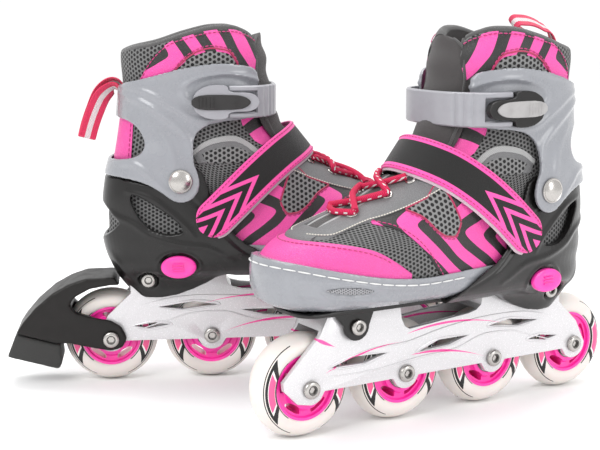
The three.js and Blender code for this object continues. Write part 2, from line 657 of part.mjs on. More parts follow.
function brakeArmSolid() {
  const body = plate(shapeOf([
    ...fromWheelTop([[3, 11.5], [-18, 11], [-30, 7], [-42, 0.5]]),
    ...fromAxle([[-55, 24.5], [-64, 14], [-69.5, 5.8], [-40, -2.6], [-31.5, -2.6], [-12.7, -7]]),
    ...fromAxle([[0, -9.5], [8, -7]]),
    ...fromAxle([[12, 0], [8, 9], [0, 14], [-15, 17], [-26, 20.5], [-30, 26]]),
    ...fromWheelTop([[-26, -3], [-14.6, 3], [0, 5.4], [7.4, 5.6]]),
  ]), -BRAKE_HALF, BRAKE_HALF);
  const tyreRoom = bar(WHEEL_RADIUS + TYRE_GAP, 0, AXLE_Z, -CHANNEL, CHANNEL, WHEEL_SIDES);
  const frameRoom = block(-BULGE - FIT - 2, OVER, -SKIRT_HALF, SKIRT_HALF, 0, AXLE_Z + 17 + 20);
  const hole = bar(AXLE_RADIUS + BORE_GAP, 0, AXLE_Z, -OVER, OVER, 8);
  return body.subtract(tyreRoom).subtract(frameRoom).subtract(hole);
}

function brakePadSolid() {
  return plate(shapeOf([
    ...fromAxle([[-69.5, 5.3 - FIT], [-40, -3.1 - FIT], [-37.6, -3.1 - FIT]]),
    [-36.4, 17], [-39, 11.8], [-76.5, 22.2],
  ]), -BRAKE_PAD_HALF, BRAKE_PAD_HALF);
}

// ---- Materials and assembly ---------------------------------------------------------------------
const material = (color, roughness, metalness = 0) =>
  new THREE.MeshStandardMaterial({ color, roughness, metalness, flatShading: true });
const BLACK_PLASTIC = material(0x2b2725, 0.4);
const GREY_PLASTIC = material(0x9b9da3, 0.35);
const WHITE_ALLOY = material(0xe9e9ec, 0.3, 0.2);
const STEEL = material(0xc4c2bd, 0.25, 1);
const TYRE_WHITE = material(0xf3ece8, 0.45);
const PINK_PLASTIC = material(0xff3fa4, 0.4);
const BOOT_MESH = material(0x6d6e70, 0.9);
const BOOT_PINK = material(0xff62b0, 0.6);
const LACE_RED = material(0xe01d5a, 0.8);
const RUBBER = material(0x1d1c1c, 0.8);

function named(name, made, look) {
  const mesh = new THREE.Mesh(geometryOf(made), look);
  mesh.name = name;
  return mesh;
}

function placed(mesh, x, y, z) {
  mesh.position.set(x, y, z);
  return mesh;
}

const wheel = wheelSolid();
const bearings = bearingSolid();
const axle = crossBolt(AXLE_RADIUS, HEAD_RADIUS, FRAME_HALF + FIT);
const brakeAxle = crossBolt(AXLE_RADIUS, HEAD_RADIUS, BRAKE_HALF + FIT);
const mountBolt = crossBolt(BOLT_SHANK, BOLT_HEAD, boltSeat() + FIT);
const rivet = rivetSolid();

// One skate in its own frame. Only the right one has the brake.
function skate(side, hasBrake) {
  const group = new THREE.Group();
  const add = (name, made, look) => {
    const mesh = named(`${side}_${name}`, made, look);
    group.add(mesh);
    return mesh;
  };
  add("frame", frameSolid(), WHITE_ALLOY);
  add("base_shell", baseShell(), BLACK_PLASTIC);
  add("toe_shell", toeShell(), GREY_PLASTIC);
  add("cuff", cuffSolid(), GREY_PLASTIC);
  add("size_button", buttonSolid(), PINK_PLASTIC);
  add("boot_quarter", quarterSolid(), BOOT_MESH);
  add("boot_vamp", vampSolid(), BOOT_PINK);
  add("boot_collar", collarSolid(), BOOT_PINK);
  add("tongue", tongueSolid(), BOOT_MESH);
  add("instep_strap", instepStrapSolid(), BOOT_PINK);
  add("lace", laceSolid(), LACE_RED);
  add("power_strap", powerStrapSolid(), GREY_PLASTIC);
  add("buckle_lever", leverSolid(), side === "left" ? BLACK_PLASTIC : GREY_PLASTIC);
  placed(add("outer_ankle_rivet", rivet, STEEL), PIVOT.x, 0, WHEEL_TOP + PIVOT.h);
  const innerRivet = placed(add("inner_ankle_rivet", rivet, STEEL), PIVOT.x, 0, WHEEL_TOP + PIVOT.h);
  innerRivet.rotation.z = Math.PI;
  placed(add("rear_mount_bolt", mountBolt, STEEL), REAR_BOLT.x, 0, WHEEL_TOP + REAR_BOLT.h);
  placed(add("front_mount_bolt", mountBolt, STEEL), FRONT_BOLT.x, 0, WHEEL_TOP + FRONT_BOLT.h);
  for (let i = 0; i < AXLE_COUNT; i++) {
    const boltHere = hasBrake && i === 0 ? brakeAxle : axle;
    placed(add(`wheel_${i + 1}`, wheel, TYRE_WHITE), axleX(i), 0, AXLE_Z);
    placed(add(`bearings_${i + 1}`, bearings, STEEL), axleX(i), 0, AXLE_Z);
    placed(add(`axle_${i + 1}`, boltHere, STEEL), axleX(i), 0, AXLE_Z);
  }
  if (hasBrake) {
    add("brake_arm", brakeArmSolid(), BLACK_PLASTIC);
    add("brake_pad", brakePadSolid(), RUBBER);
  }
  return group;
}

const pair = new THREE.Group();
const rightSkate = skate("right", true);
rightSkate.scale.y = -1;
const leftSkate = skate("left", false);
for (const [group, { x, y, turn }] of [[rightSkate, RIGHT_PLACE], [leftSkate, LEFT_PLACE]]) {
  group.position.set(x, y, 0);
  group.rotation.z = THREE.MathUtils.degToRad(turn);
}
pair.add(rightSkate, leftSkate);

// The pair's origin is the middle of its footprint, on the floor.
const bounds = new THREE.Box3().setFromObject(pair, true);
const middle = bounds.getCenter(new THREE.Vector3());
pair.position.set(-middle.x, -middle.y, -bounds.min.z);

export default pair;
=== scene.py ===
"""Looks of a pair of adjustable inline skates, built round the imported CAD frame.

Each shape is made once in a skate's own millimetres: x from the rear axle to the toe, y to the outer
side of the foot, z up from the floor. It is then put in place for the left skate, and mirrored for the
right one. Heights called h are above the tops of the wheels.
"""
import json
import math

import bpy
import numpy as np
from mathutils import Matrix, Vector

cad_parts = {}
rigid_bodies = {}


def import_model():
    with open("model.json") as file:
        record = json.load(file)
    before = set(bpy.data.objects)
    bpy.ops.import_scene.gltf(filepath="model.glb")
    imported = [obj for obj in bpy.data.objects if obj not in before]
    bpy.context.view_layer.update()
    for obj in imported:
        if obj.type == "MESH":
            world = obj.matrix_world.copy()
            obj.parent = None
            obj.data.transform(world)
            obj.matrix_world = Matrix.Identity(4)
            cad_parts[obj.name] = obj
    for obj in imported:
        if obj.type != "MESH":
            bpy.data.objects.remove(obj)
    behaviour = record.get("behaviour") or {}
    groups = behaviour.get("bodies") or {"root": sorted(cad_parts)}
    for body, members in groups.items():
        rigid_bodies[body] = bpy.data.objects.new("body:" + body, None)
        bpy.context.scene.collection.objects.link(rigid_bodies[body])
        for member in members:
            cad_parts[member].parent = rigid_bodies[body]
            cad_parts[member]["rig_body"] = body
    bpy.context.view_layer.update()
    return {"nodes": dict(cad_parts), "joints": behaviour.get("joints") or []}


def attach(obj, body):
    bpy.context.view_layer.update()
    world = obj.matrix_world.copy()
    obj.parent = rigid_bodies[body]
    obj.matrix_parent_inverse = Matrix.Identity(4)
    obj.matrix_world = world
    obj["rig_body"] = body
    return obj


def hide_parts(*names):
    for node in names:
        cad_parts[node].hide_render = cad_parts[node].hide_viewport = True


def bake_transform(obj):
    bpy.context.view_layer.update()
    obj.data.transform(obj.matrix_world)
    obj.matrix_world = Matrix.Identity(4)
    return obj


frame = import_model()
JOINTS = {joint["name"]: joint for joint in frame["joints"]}
MM = 0.001

# ---- Sizes shared with the CAD part, in millimetres ----------------------------------------------
WHEEL_RADIUS = 35
WHEEL_WIDTH = 24
WHEEL_TOP = 2 * WHEEL_RADIUS
AXLE_PITCH = 75
BEARING_RADIUS = 11
AXLE_RADIUS = 3.9
HEAD_RADIUS = 6
FRAME_HALF = 16.5
CHANNEL = 16.9
BRAKE_HALF = 21
SHANK_RADIUS = 3
PIVOT = (52.5, 85.5)
RIVET_RADIUS = 8.5
REAR_BOLT = (28.3, 9.2)
FRONT_BOLT = (192, 3.2)
BOLT_SEAT = 20.5
BOLT_LIFT = 0.4
SIZE_TRAVEL = 10
TOE_GAP = 0.9
TOE_FLOOR = 16.8
OVER = 80  # further out than any part of a skate reaches
BUTTON = {"x": 50.4, "h": 22.5, "long": 12.8, "high": 8.2, "face": 43.6, "seat": 40.4}
LEG_CUT = 97  # the boot's lower and upper fabric meet at this height, under the strap

BOOT_FORM = [
    [20, 10, 236, 150, 33, 2.8, 2.3],
    [26, 3, 247, 156, 38, 2.7, 2.3],
    [36, -0.5, 252, 160, 41, 2.6, 2.3],
    [48, 0, 249, 157, 41.3, 2.6, 2.3],
    [58, 0, 239, 148, 40.3, 2.6, 2.3],
    [66, 1, 220, 125, 39.3, 2.6, 2.3],
    [75, 1.5, 193, 102, 38.7, 2.5, 2.2],
    [86, 2.5, 168, 87, 38.3, 2.5, 2.2],
    [99, 5.5, 147, 76, 37.8, 2.5, 2.2],
    [118, 9, 122, 66, 37, 2.4, 2.2],
    [145, 12.5, 115, 63, 36.9, 2.4, 2.2],
    [172, 12.5, 113.5, 62, 37.3, 2.4, 2.2],
    [187, 16, 109, 62, 36, 2.4, 2.2],
    [199, 22, 104, 62, 33, 2.4, 2.2],
]
SHELL_FORM = [
    [-4.5, 20, 236, 130, 22, 6, 4],
    [4, 12, 236, 130, 23.5, 6, 4],
    [11, 6.5, 236, 130, 28, 5, 4],
    [19, 2, 236, 130, 39, 3.6, 4],
    [27, -2, 236, 130, 44.5, 2.7, 4],
    [40, -5, 236, 130, 46.6, 2.5, 4],
    [54, -5.2, 214, 112, 45, 2.5, 4],
    [66, -4.7, 178, 87, 42.8, 2.5, 4],
    [98, 0, 150, 75, 41.4, 2.5, 3],
]
TOE_FORM = [
    [16.8, 20, 236, 160, 30, 3, 2.5],
    [21, 10, 248, 160, 38, 3, 2.4],
    [29, 2, 254.5, 161, 42.6, 2.7, 2.3],
    [40, -3, 256, 162, 44.5, 2.6, 2.3],
    [56, -3, 254, 158, 44.4, 2.6, 2.3],
]
CUFF_FORM = [
    [60, -1, 150, 75, 43.8, 2.5, 2.4],
    [88, 0.4, 132, 72, 43.6, 2.5, 2.4],
    [101, 4, 127, 68, 43, 2.5, 2.4],
    [117, 7.5, 124, 65, 39.6, 2.4, 2.3],
    [145, 11, 122, 63, 38.8, 2.4, 2.3],
    [172, 12, 120, 62, 38.8, 2.4, 2.3],
]
CUFF_WALL = 2.8

# ---- Camera, light and floor ---------------------------------------------------------------------
CAMERA_PLACE = (-0.0014, -0.8913, 0.2774)
CAMERA_PITCH = 9.64
CAMERA_LENS = 76.8
LAMP_AIM = (0, 0, 0.1)
WORLD_STRENGTH = 1.05
FLOOR_GREY = 0.96


def make_camera():
    data = bpy.data.cameras.new("camera")
    data.lens = CAMERA_LENS
    camera = bpy.data.objects.new("camera", data)
    camera.location = CAMERA_PLACE
    camera.rotation_euler = (math.radians(90 - CAMERA_PITCH), 0, 0)
    bpy.context.scene.collection.objects.link(camera)
    bpy.context.scene.camera = camera


def make_lamp(name, place, size, power):
    """A soft box that shines at the middle of the skates."""
    data = bpy.data.lights.new(name, "AREA")
    data.shape = "RECTANGLE"
    data.size, data.size_y = size
    data.energy = power
    lamp = bpy.data.objects.new(name, data)
    lamp.location = place
    lamp.rotation_euler = (Vector(LAMP_AIM) - Vector(place)).to_track_quat("-Z", "Y").to_euler()
    bpy.context.scene.collection.objects.link(lamp)


def make_studio():
    bpy.context.scene.view_settings.view_transform = "Standard"
    make_lamp("key", (-0.8, -1.1, 1.2), (0.9, 0.7), 11)
    make_lamp("fill", (1.2, -0.9, 0.6), (0.5, 0.9), 5)
    make_lamp("top", (0, 0.35, 1.4), (1.2, 0.6), 10)
    world = bpy.data.worlds.new("studio")
    world.use_nodes = True
    sky = world.node_tree.nodes["Background"]
    sky.inputs["Color"].default_value = (1, 1, 1, 1)
    sky.inputs["Strength"].default_value = WORLD_STRENGTH
    bpy.context.scene.world = world
    mesh = bpy.data.meshes.new("floor")
    mesh.from_pydata([(-6, -3, 0), (6, -3, 0), (6, 6, 0), (-6, 6, 0)], [], [(0, 1, 2, 3)])
    floor = bpy.data.objects.new("floor", mesh)
    pale = bpy.data.materials.new("pale_floor")
    pale.use_nodes = True
    shader = pale.node_tree.nodes["Principled BSDF"]
    shader.inputs["Base Color"].default_value = (FLOOR_GREY, FLOOR_GREY, FLOOR_GREY, 1)
    shader.inputs["Roughness"].default_value = 1.0
    mesh.materials.append(pale)
    bpy.context.scene.collection.objects.link(floor)


# ---- Materials -----------------------------------------------------------------------------------
def node_method(operation, swapped=False):
    """A method that joins a Value and another number by a math node."""

    def apply(self, other):
        a, b = (other, self) if swapped else (self, other)
        return self.look.math(operation, a, b)

    return apply


class Value:
    """An output of a material's node. It is added, scaled and compared as a number is."""

    def __init__(self, look, socket):
        self.look = look
        self.socket = socket

    __add__ = node_method("ADD")
    __radd__ = node_method("ADD", True)
    __sub__ = node_method("SUBTRACT")
    __rsub__ = node_method("SUBTRACT", True)
    __mul__ = node_method("MULTIPLY")
    __truediv__ = node_method("DIVIDE")
    __lt__ = node_method("LESS_THAN")
    __gt__ = node_method("GREATER_THAN")


class Look:
    def __init__(self, name, **shader):
        self.material = bpy.data.materials.new(name)
        self.material.use_nodes = True
        self.tree = self.material.node_tree
        self.shader = self.tree.nodes["Principled BSDF"]
        for socket, value in shader.items():
            self.shader.inputs[socket.replace("_", " ")].default_value = value
        self.place = self.value("ShaderNodeAttribute", "Vector", attribute_name="skate_mm")
        self.uv = self.value("ShaderNodeUVMap", "UV")

    def node(self, kind, inputs=None, **settings):
        node = self.tree.nodes.new(kind)
        for key, value in settings.items():
            setattr(node, key, value)
        for key, value in (inputs or {}).items():
            self.feed(node.inputs[key], value)
        return node

    def value(self, kind, output, inputs=None, **settings):
        return Value(self, self.node(kind, inputs, **settings).outputs[output])

    def feed(self, socket, value):
        if isinstance(value, Value):
            self.tree.links.new(value.socket, socket)
        else:
            socket.default_value = value

    def math(self, operation, a, b=0.0):
        return self.value("ShaderNodeMath", 0, {0: a, 1: b}, operation=operation)

    def axes(self, vector):
        return [Value(self, axis) for axis in self.node("ShaderNodeSeparateXYZ", {0: vector}).outputs]

    def noise(self, scale, detail=3.0):
        inputs = {"Vector": self.place, "Scale": scale, "Detail": detail, "Roughness": 0.55}
        return self.value("ShaderNodeTexNoise", "Fac", inputs)

    def pebbles(self):
        """The pebbled grain of leatherette: 0 in its creases."""
        inputs = {"Vector": self.place, "Scale": 0.9}
        edges = self.value("ShaderNodeTexVoronoi", "Distance", inputs, feature="DISTANCE_TO_EDGE")
        return self.step(edges, 0.0, 0.28)

    def step(self, value, low, high):
        """0 below low and 1 above high, smooth between them."""
        inputs = {"Value": value, "From Min": low, "From Max": high}
        return self.value("ShaderNodeMapRange", 0, inputs, interpolation_type="SMOOTHSTEP")

    def mix(self, share, a, b):
        return self.value("ShaderNodeMix", 2, {0: share, 6: a, 7: b}, data_type="RGBA")

    def honeycomb(self, pitch):
        """High in the holes of a knitted mesh with that many millimetres between holes."""
        u, v, _ = self.axes(self.uv)
        turn = 2 * math.pi / (pitch * math.sqrt(3) / 2)
        waves = [self.math("COSINE", u * (turn * math.cos(angle)) + v * (turn * math.sin(angle)))
                 for angle in (0, 2 * math.pi / 3, 4 * math.pi / 3)]
        return waves[0] + waves[1] + waves[2]

    def weave(self, pitch):
        """The bumps of a plain weave with that many millimetres between threads."""
        u, v, _ = self.axes(self.uv)
        turn = math.pi / pitch
        return self.math("SINE", u * turn) * self.math("SINE", v * turn)

    def finish(self, color, roughness, height, depth):
        """depth is the bump's height in millimetres."""
        bump = self.value("ShaderNodeBump", 0, {"Height": height, "Distance": depth * MM, "Strength": 1.0})
        for socket, value in (("Base Color", color), ("Roughness", roughness), ("Normal", bump)):
            self.feed(self.shader.inputs[socket], value)
        return self.material


def rgb(red, green, blue):
    return (red, green, blue, 1.0)


def grey(level):
    return rgb(level, level, level)


def dimmed(color, share):
    return rgb(*(c * share for c in color[:3]))


PINK = rgb(0.95, 0.085, 0.42)
HOT_PINK = rgb(0.93, 0.045, 0.4)
GREY = rgb(0.255, 0.262, 0.285)
BLACK = rgb(0.006, 0.0055, 0.006)


def plastic(name, color, shade=0.85, rough=0.3, grain=0.02, coat=0.0, sheen=0.5):
    """Moulded plastic: faint mottling, handling scratches in its gloss, and a fine moulded grain."""
    look = Look(name, Coat_Weight=coat, Coat_Roughness=0.12, Specular_IOR_Level=sheen)
    worn = look.step(look.noise(0.12, 5.0), 0.4, 0.75)
    fine = look.noise(2.2, 4.0)
    tint = look.mix(worn, color, dimmed(color, shade))
    return look.finish(tint, rough + worn * 0.1 + fine * 0.08, fine, grain)


def metal(name, color, rough=0.22):
    look = Look(name, Metallic=1.0)
    streaks = look.noise(0.9, 5.0)
    return look.finish(look.mix(streaks, color, dimmed(color, 0.8)), rough + streaks * 0.18, streaks, 0.03)


def mesh_fabric(name, thread, hole, pitch, depth=0.5):
    """Spacer mesh: a knitted honeycomb over a darker backing, its holes coloured dark: the backing, with
    painted shade in the holes.
    """
    look = Look(name, Sheen_Weight=0.08)
    holes = look.step(look.honeycomb(pitch), -0.45, 0.55)
    fibre = look.noise(3.0, 4.0)
    # The holes take the dark hole colour: the backing seen through them, with painted shade in the holes.
    tint = look.mix(holes, look.mix(fibre, thread, dimmed(thread, 0.7)), hole)
    return look.finish(tint, 0.85, fibre * 0.25 - holes, depth)


def leather(name, color, rough=0.5):
    """Coated leatherette with a pebbled grain, and painted shade darkening its creases."""
    look = Look(name, Coat_Weight=0.15, Coat_Roughness=0.35)
    pebble = look.pebbles()
    tint = look.mix(look.noise(0.08), color, dimmed(color, 0.82))
    # The grain's creases are darkened to 0.72 of the colour: painted shade in the creases.
    tint = look.mix(pebble * 0.85, dimmed(color, 0.72), tint)
    return look.finish(tint, rough - pebble * 0.1, pebble, 0.18)


def hook_print(name, centre, tilt, period=27, spread=1.5):
    """Printed leatherette: bold black hooks that open towards the heel, on a pink ground."""
    look = Look(name, Coat_Weight=0.1, Coat_Roughness=0.3)
    x, _, z = look.axes(look.place)
    away = z - (WHEEL_TOP + centre + x * tilt)
    away = look.math("SQRT", away * away + 6.0)
    phase = x + away * spread + look.noise(0.022, 1.0) * 22
    stripe = look.step(look.math("SINE", phase * (2 * math.pi / period)), 0.08, 0.14)
    pebble = look.pebbles()
    cloud = look.noise(0.08)
    tint = look.mix(cloud, PINK, dimmed(PINK, 0.86))
    # The grain's creases are darkened to 0.8 of the pink: painted shade in the creases.
    tint = look.mix(pebble * 0.85, dimmed(PINK, 0.8), tint)
    tint = look.mix(stripe, tint, look.mix(cloud, BLACK, rgb(0.02, 0.018, 0.018)))
    return look.finish(tint, 0.42, pebble, 0.15)


def woven(name, color, pitch=0.5, depth=0.1):
    """Woven tape, piping or thread, with painted shade between its threads."""
    look = Look(name, Sheen_Weight=0.3)
    thread = look.weave(pitch)
    # The weave's low points are darkened to 0.65 of the colour: painted shade between the threads.
    tint = look.mix(look.step(thread, -1.0, 1.0), dimmed(color, 0.65), color)
    return look.finish(tint, 0.75, thread, depth)


# Each sweep on the frame: x and z of its ends, how far it bows up, and its half width
SWEEPS = ((60, 57, 150, 62, 6, 1.3), (80, 36, 146, 47, 4, 1.5), (205, 60, 222, 68, 0, 2.2),
          (150, 57, 214, 44, 4, 1.2))


def frame_look():
    """Silver-white painted frame with tapering pink sweeps."""
    look = Look("frame_white", Coat_Weight=0.6, Coat_Roughness=0.08, Metallic=0.25)
    x, _, z = look.axes(look.place)
    lines = 0.0
    for x0, z0, x1, z1, bow, width in SWEEPS:
        share = (x - x0) / (x1 - x0)
        hump = share * (1.0 - share) * 4.0
        away = look.math("ABSOLUTE", z - (z0 + share * (z1 - z0) + hump * bow))
        line = (share > 0.0) * (share < 1.0) * (away < share * hump * width)
        lines = look.math("MAXIMUM", lines, line)
    fine = look.noise(1.6, 4.0)
    white = look.mix(fine, rgb(0.68, 0.67, 0.68), rgb(0.58, 0.57, 0.59))
    return look.finish(look.mix(lines, white, rgb(0.85, 0.06, 0.32)), 0.2 + fine * 0.12, fine, 0.02)


def tyre_look():
    """Cast urethane with a printed ring: a thin circle and two black shields with pink hearts."""
    look = Look("urethane", Subsurface_Weight=0.12, Subsurface_Scale=0.004)
    u, v, _ = look.axes(look.uv)
    turn = look.math("ABSOLUTE", look.math("SINE", u))

    def band(low, high):
        return (v > low) * (v < high)

    edge = 0.42 + (v - 22.0) * 0.035
    shield = (turn < edge) * band(22.5, 30.4)
    rim = (turn < edge - 0.14) * band(23.8, 29.0)
    heart = (turn < edge - 0.2) * band(24.2, 28.6)
    circle = (turn < 0.93) * band(30.9, 31.4)
    inner = (1.0 - shield) * (turn < 0.8) * band(22.6, 23.2)
    tint = look.mix(look.noise(0.1), rgb(0.76, 0.71, 0.68), rgb(0.7, 0.65, 0.61))
    for printed, color in ((shield, BLACK), (circle, BLACK), (inner, BLACK), (rim, rgb(0.8, 0.77, 0.75)),
                           (heart, rgb(0.85, 0.1, 0.28))):
        tint = look.mix(printed, tint, color)
    fine = look.noise(1.2, 4.0)
    return look.finish(tint, 0.32 + fine * 0.12, fine, 0.03)


def plush():
    look = Look("plush_lining", Sheen_Weight=0.15)
    fuzz = look.noise(2.4, 6.0)
    return look.finish(look.mix(fuzz, rgb(0.022, 0.02, 0.02), rgb(0.095, 0.088, 0.088)), 0.95, fuzz, 0.5)


def lace_look():
    """Round braided lace: crimson with white dashes."""
    look = Look("lace")
    u, v, _ = look.axes(look.uv)
    thread = look.weave(0.6)
    dash = look.math("FRACT", (v + u * 0.55) / 7.0) < 0.38
    band = look.math("ABSOLUTE", look.math("SINE", u * 0.45)) < 0.45
    # The weave's low points take the darker crimson: painted shade between the threads.
    tint = look.mix(look.step(thread, -1.0, 1.0), rgb(0.5, 0.004, 0.05), rgb(0.82, 0.006, 0.1))
    return look.finish(look.mix(dash * band, tint, rgb(0.88, 0.82, 0.83)), 0.7, thread, 0.3)


def rubber():
    look = Look("brake_rubber")
    grit = look.noise(1.4, 6.0)
    return look.finish(look.mix(grit, grey(0.018), rgb(0.04, 0.04, 0.038)), 0.6 + grit * 0.25, grit, 0.3)


def webbing_look():
    """Pull loop tape: red, white and red along its length."""
    look = Look("loop_webbing", Sheen_Weight=0.2)
    _, v, _ = look.axes(look.uv)
    thread = look.weave(0.7)
    tint = look.mix(look.math("ABSOLUTE", v) < 2.0, rgb(0.75, 0.015, 0.09), rgb(0.8, 0.76, 0.76))
    # The weave's low points take a dark red over both stripes: painted shade between the threads.
    return look.finish(look.mix(look.step(thread, -2.0, 0.6), rgb(0.35, 0.05, 0.1), tint), 0.8, thread, 0.25)


def instep_look():
    """Strap face: pink border, black hook-and-loop centre, and chevrons at the tip."""
    look = Look("instep_print", Sheen_Weight=0.2)
    u, v, _ = look.axes(look.uv)
    away = look.math("ABSOLUTE", v)
    arrow = u + away * 2.4
    striped = look.math("FRACT", arrow / 17.0) < 0.42
    dark = (1.0 - look.step(away, 9.2, 9.5)) * (1.0 - striped * (arrow < 58.0))
    fuzz = look.noise(2.5, 5.0)
    thread = look.weave(0.5)
    # The weave's low points take a darker pink: painted shade between the threads.
    pink = look.mix(look.step(thread, -1.2, 1.2), rgb(0.75, 0.05, 0.3), PINK)
    black = look.mix(fuzz, grey(0.004), rgb(0.014, 0.013, 0.013))
    return look.finish(look.mix(dark, pink, black), 0.55 + dark * 0.4, dark * fuzz + thread * 0.25, 0.25)


LOOKS = {
    "grey_plastic": plastic("grey_plastic", GREY, shade=0.94, rough=0.2, coat=0.5),
    "black_plastic": plastic("black_plastic", rgb(0.006, 0.0052, 0.005), rough=0.24, coat=0.2, sheen=0.32),
    "pink_plastic": plastic("pink_plastic", HOT_PINK, rough=0.25, coat=0.3),
    "hub_plastic": plastic("hub_plastic", rgb(0.95, 0.03, 0.38), rough=0.25, coat=0.4),
    "brake_plastic": plastic("brake_plastic", rgb(0.007, 0.0055, 0.005), rough=0.34, grain=0.05, sheen=0.32),
    "strap_plastic": plastic("strap_plastic", rgb(0.3, 0.3, 0.325), shade=0.93, rough=0.3, coat=0.2),
    "grip_black": plastic("grip_black", rgb(0.02, 0.019, 0.019), rough=0.6, grain=0.12),
    "grip_grey": plastic("grip_grey", rgb(0.36, 0.35, 0.35), rough=0.6, grain=0.12),
    "steel": metal("steel", rgb(0.5, 0.48, 0.46), rough=0.16),
    # dark_steel colours the bearing spacer, and lines the bolt heads' hexagon sockets as painted shade in the
    # recess.
    "dark_steel": metal("dark_steel", rgb(0.14, 0.135, 0.13), rough=0.35),
    "grey_mesh": mesh_fabric("grey_mesh", grey(0.17), BLACK, pitch=3.3, depth=0.7),
    "silver_mesh": mesh_fabric("silver_mesh", grey(0.24), BLACK, pitch=3.6, depth=0.8),
    "pale_mesh": mesh_fabric("pale_mesh", rgb(0.42, 0.42, 0.44), rgb(0.1, 0.1, 0.11), pitch=1.7),
    "pink_leather": leather("pink_leather", PINK),
    "grey_leather": leather("grey_leather", rgb(0.19, 0.19, 0.195), rough=0.6),
    "side_print": hook_print("side_print", 38, 0.2),
    "collar_print": hook_print("collar_print", 190, -0.35, period=24, spread=1.1),
    "plush": plush(),
    "binding": woven("binding", rgb(0.07, 0.068, 0.068), pitch=0.6, depth=0.12),
    "silver_tape": woven("silver_tape", grey(0.42), pitch=0.6, depth=0.12),
    "hook_tape": woven("hook_tape", rgb(0.75, 0.6, 0.68), depth=0.2),
    "red_piping": woven("red_piping", rgb(0.5, 0.02, 0.1)),
    "cream_thread": woven("cream_thread", rgb(0.78, 0.74, 0.66), pitch=0.3, depth=0.05),
    "white_thread": woven("white_thread", rgb(0.85, 0.85, 0.84), pitch=0.3, depth=0.05),
    "pink_thread": woven("pink_thread", rgb(0.55, 0.02, 0.18), pitch=0.3, depth=0.05),
    "lace": lace_look(),
    "webbing": webbing_look(),
    "urethane": tyre_look(),
    "frame_white": frame_look(),
    "rubber": rubber(),
    "instep_print": instep_look(),
}


# ---- Mesh building -------------------------------------------------------------------------------
class Shape:
    """Faces in a skate's own millimetres, gathered from grids, each with its own material."""

    def __init__(self):
        self.points = []
        self.faces = []
        self.looks = []
        self.uvs = []

    def grid(self, rows, look, uv=None, wrap=False, flip=False):
        """Quads through rows of points. uv gives each point's texture place, in millimetres."""
        rows = np.asarray(rows, float)
        count, width, _ = rows.shape
        start = len(self.points)
        self.points.extend(map(tuple, rows.reshape(-1, 3)))
        if uv is None:
            uv = lengths_uv(rows)
        last = width if wrap else width - 1
        for i in range(count - 1):
            for j in range(last):
                k = (j + 1) % width
                corners = [(i, j), (i, k), (i + 1, k), (i + 1, j)]
                if flip:
                    corners.reverse()
                self.faces.append([start + a * width + b for a, b in corners])
                self.looks.append(look)
                wide = uv[0][1] - uv[0][0]
                self.uvs.append([
                    tuple(uv[a][b] if not (wrap and b == 0 and k == 0) else uv[a][width - 1] + wide)
                    for a, b in corners
                ])

    def solid(self, mesh, look):
        """Adds a finished mesh's faces."""
        start = len(self.points)
        self.points.extend(tuple(v.co) for v in mesh.vertices)
        for polygon in mesh.polygons:
            corners = list(polygon.vertices)
            self.faces.append([start + v for v in corners])
            self.looks.append(look)
            self.uvs.append([(mesh.vertices[v].co.x, mesh.vertices[v].co.z) for v in corners])

    def mesh(self, name, matrix):
        mesh = bpy.data.meshes.new(name)
        mesh.from_pydata(self.points, [], self.faces)
        used = sorted(set(self.looks))
        for look in used:
            mesh.materials.append(LOOKS[look])
        mesh.polygons.foreach_set("material_index", [used.index(look) for look in self.looks])
        mesh.polygons.foreach_set("use_smooth", [True] * len(self.faces))
        layer = mesh.uv_layers.new(name="UVMap")
        layer.data.foreach_set("uv", [c for face in self.uvs for uv in face for c in uv])
        tag_place(mesh)
        mesh.transform(matrix)
        if matrix.determinant() < 0:
            mesh.flip_normals()
        mesh.set_sharp_from_angle(angle=math.radians(38))
        return mesh


def tag_place(mesh, to_skate=Matrix()):
    """Keeps each point's place in skate millimetres, which the materials read."""
    flat = np.zeros(len(mesh.vertices) * 3, np.float32)
    mesh.vertices.foreach_get("co", flat)
    turn = np.array(to_skate)
    places = flat.reshape(-1, 3) @ turn[:3, :3].T + turn[:3, 3]
    mesh.attributes.new("skate_mm", "FLOAT_VECTOR", "POINT")
    mesh.attributes["skate_mm"].data.foreach_set("vector", places.astype(np.float32).ravel())


def distances(path):
    """How far along a path each of its points is."""
    return np.concatenate([[0], np.cumsum(np.linalg.norm(np.diff(path, axis=0), axis=1))])


def directions(path):
    along = np.gradient(path, axis=0)
    return along / np.linalg.norm(along, axis=1)[:, None]


def lengths_uv(rows):
    """Texture places that follow the lengths along and across a grid."""
    across = np.linalg.norm(np.diff(rows, axis=1), axis=2)
    down = np.linalg.norm(np.diff(rows, axis=0), axis=2)
    u = np.pad(np.cumsum(across, axis=1), ((0, 0), (1, 0)))
    v = np.pad(np.cumsum(down, axis=0), ((1, 0), (0, 0)))
    middle = rows.shape[1] // 2
    return np.stack([u - u[:, middle : middle + 1], v], axis=2)


def skate_matrix(side):
    """From a skate's own millimetres to metres, with its place and turn read from the frame's joints."""
    axle = Vector(JOINTS[f"{side}_wheel_1_spin"]["pos_m"])
    forward = Vector(JOINTS[f"{side}_size_slide"]["axis"])
    outward = -Vector(JOINTS[f"{side}_button_press"]["axis"])
    matrix = Matrix((forward, outward, Vector((0, 0, 1)))).transposed().to_4x4()
    matrix.translation = (axle.x, axle.y, 0)
    return matrix @ Matrix.Scale(MM, 4)


SIDES = ("right", "left")
MATRIX = {side: skate_matrix(side) for side in SIDES}


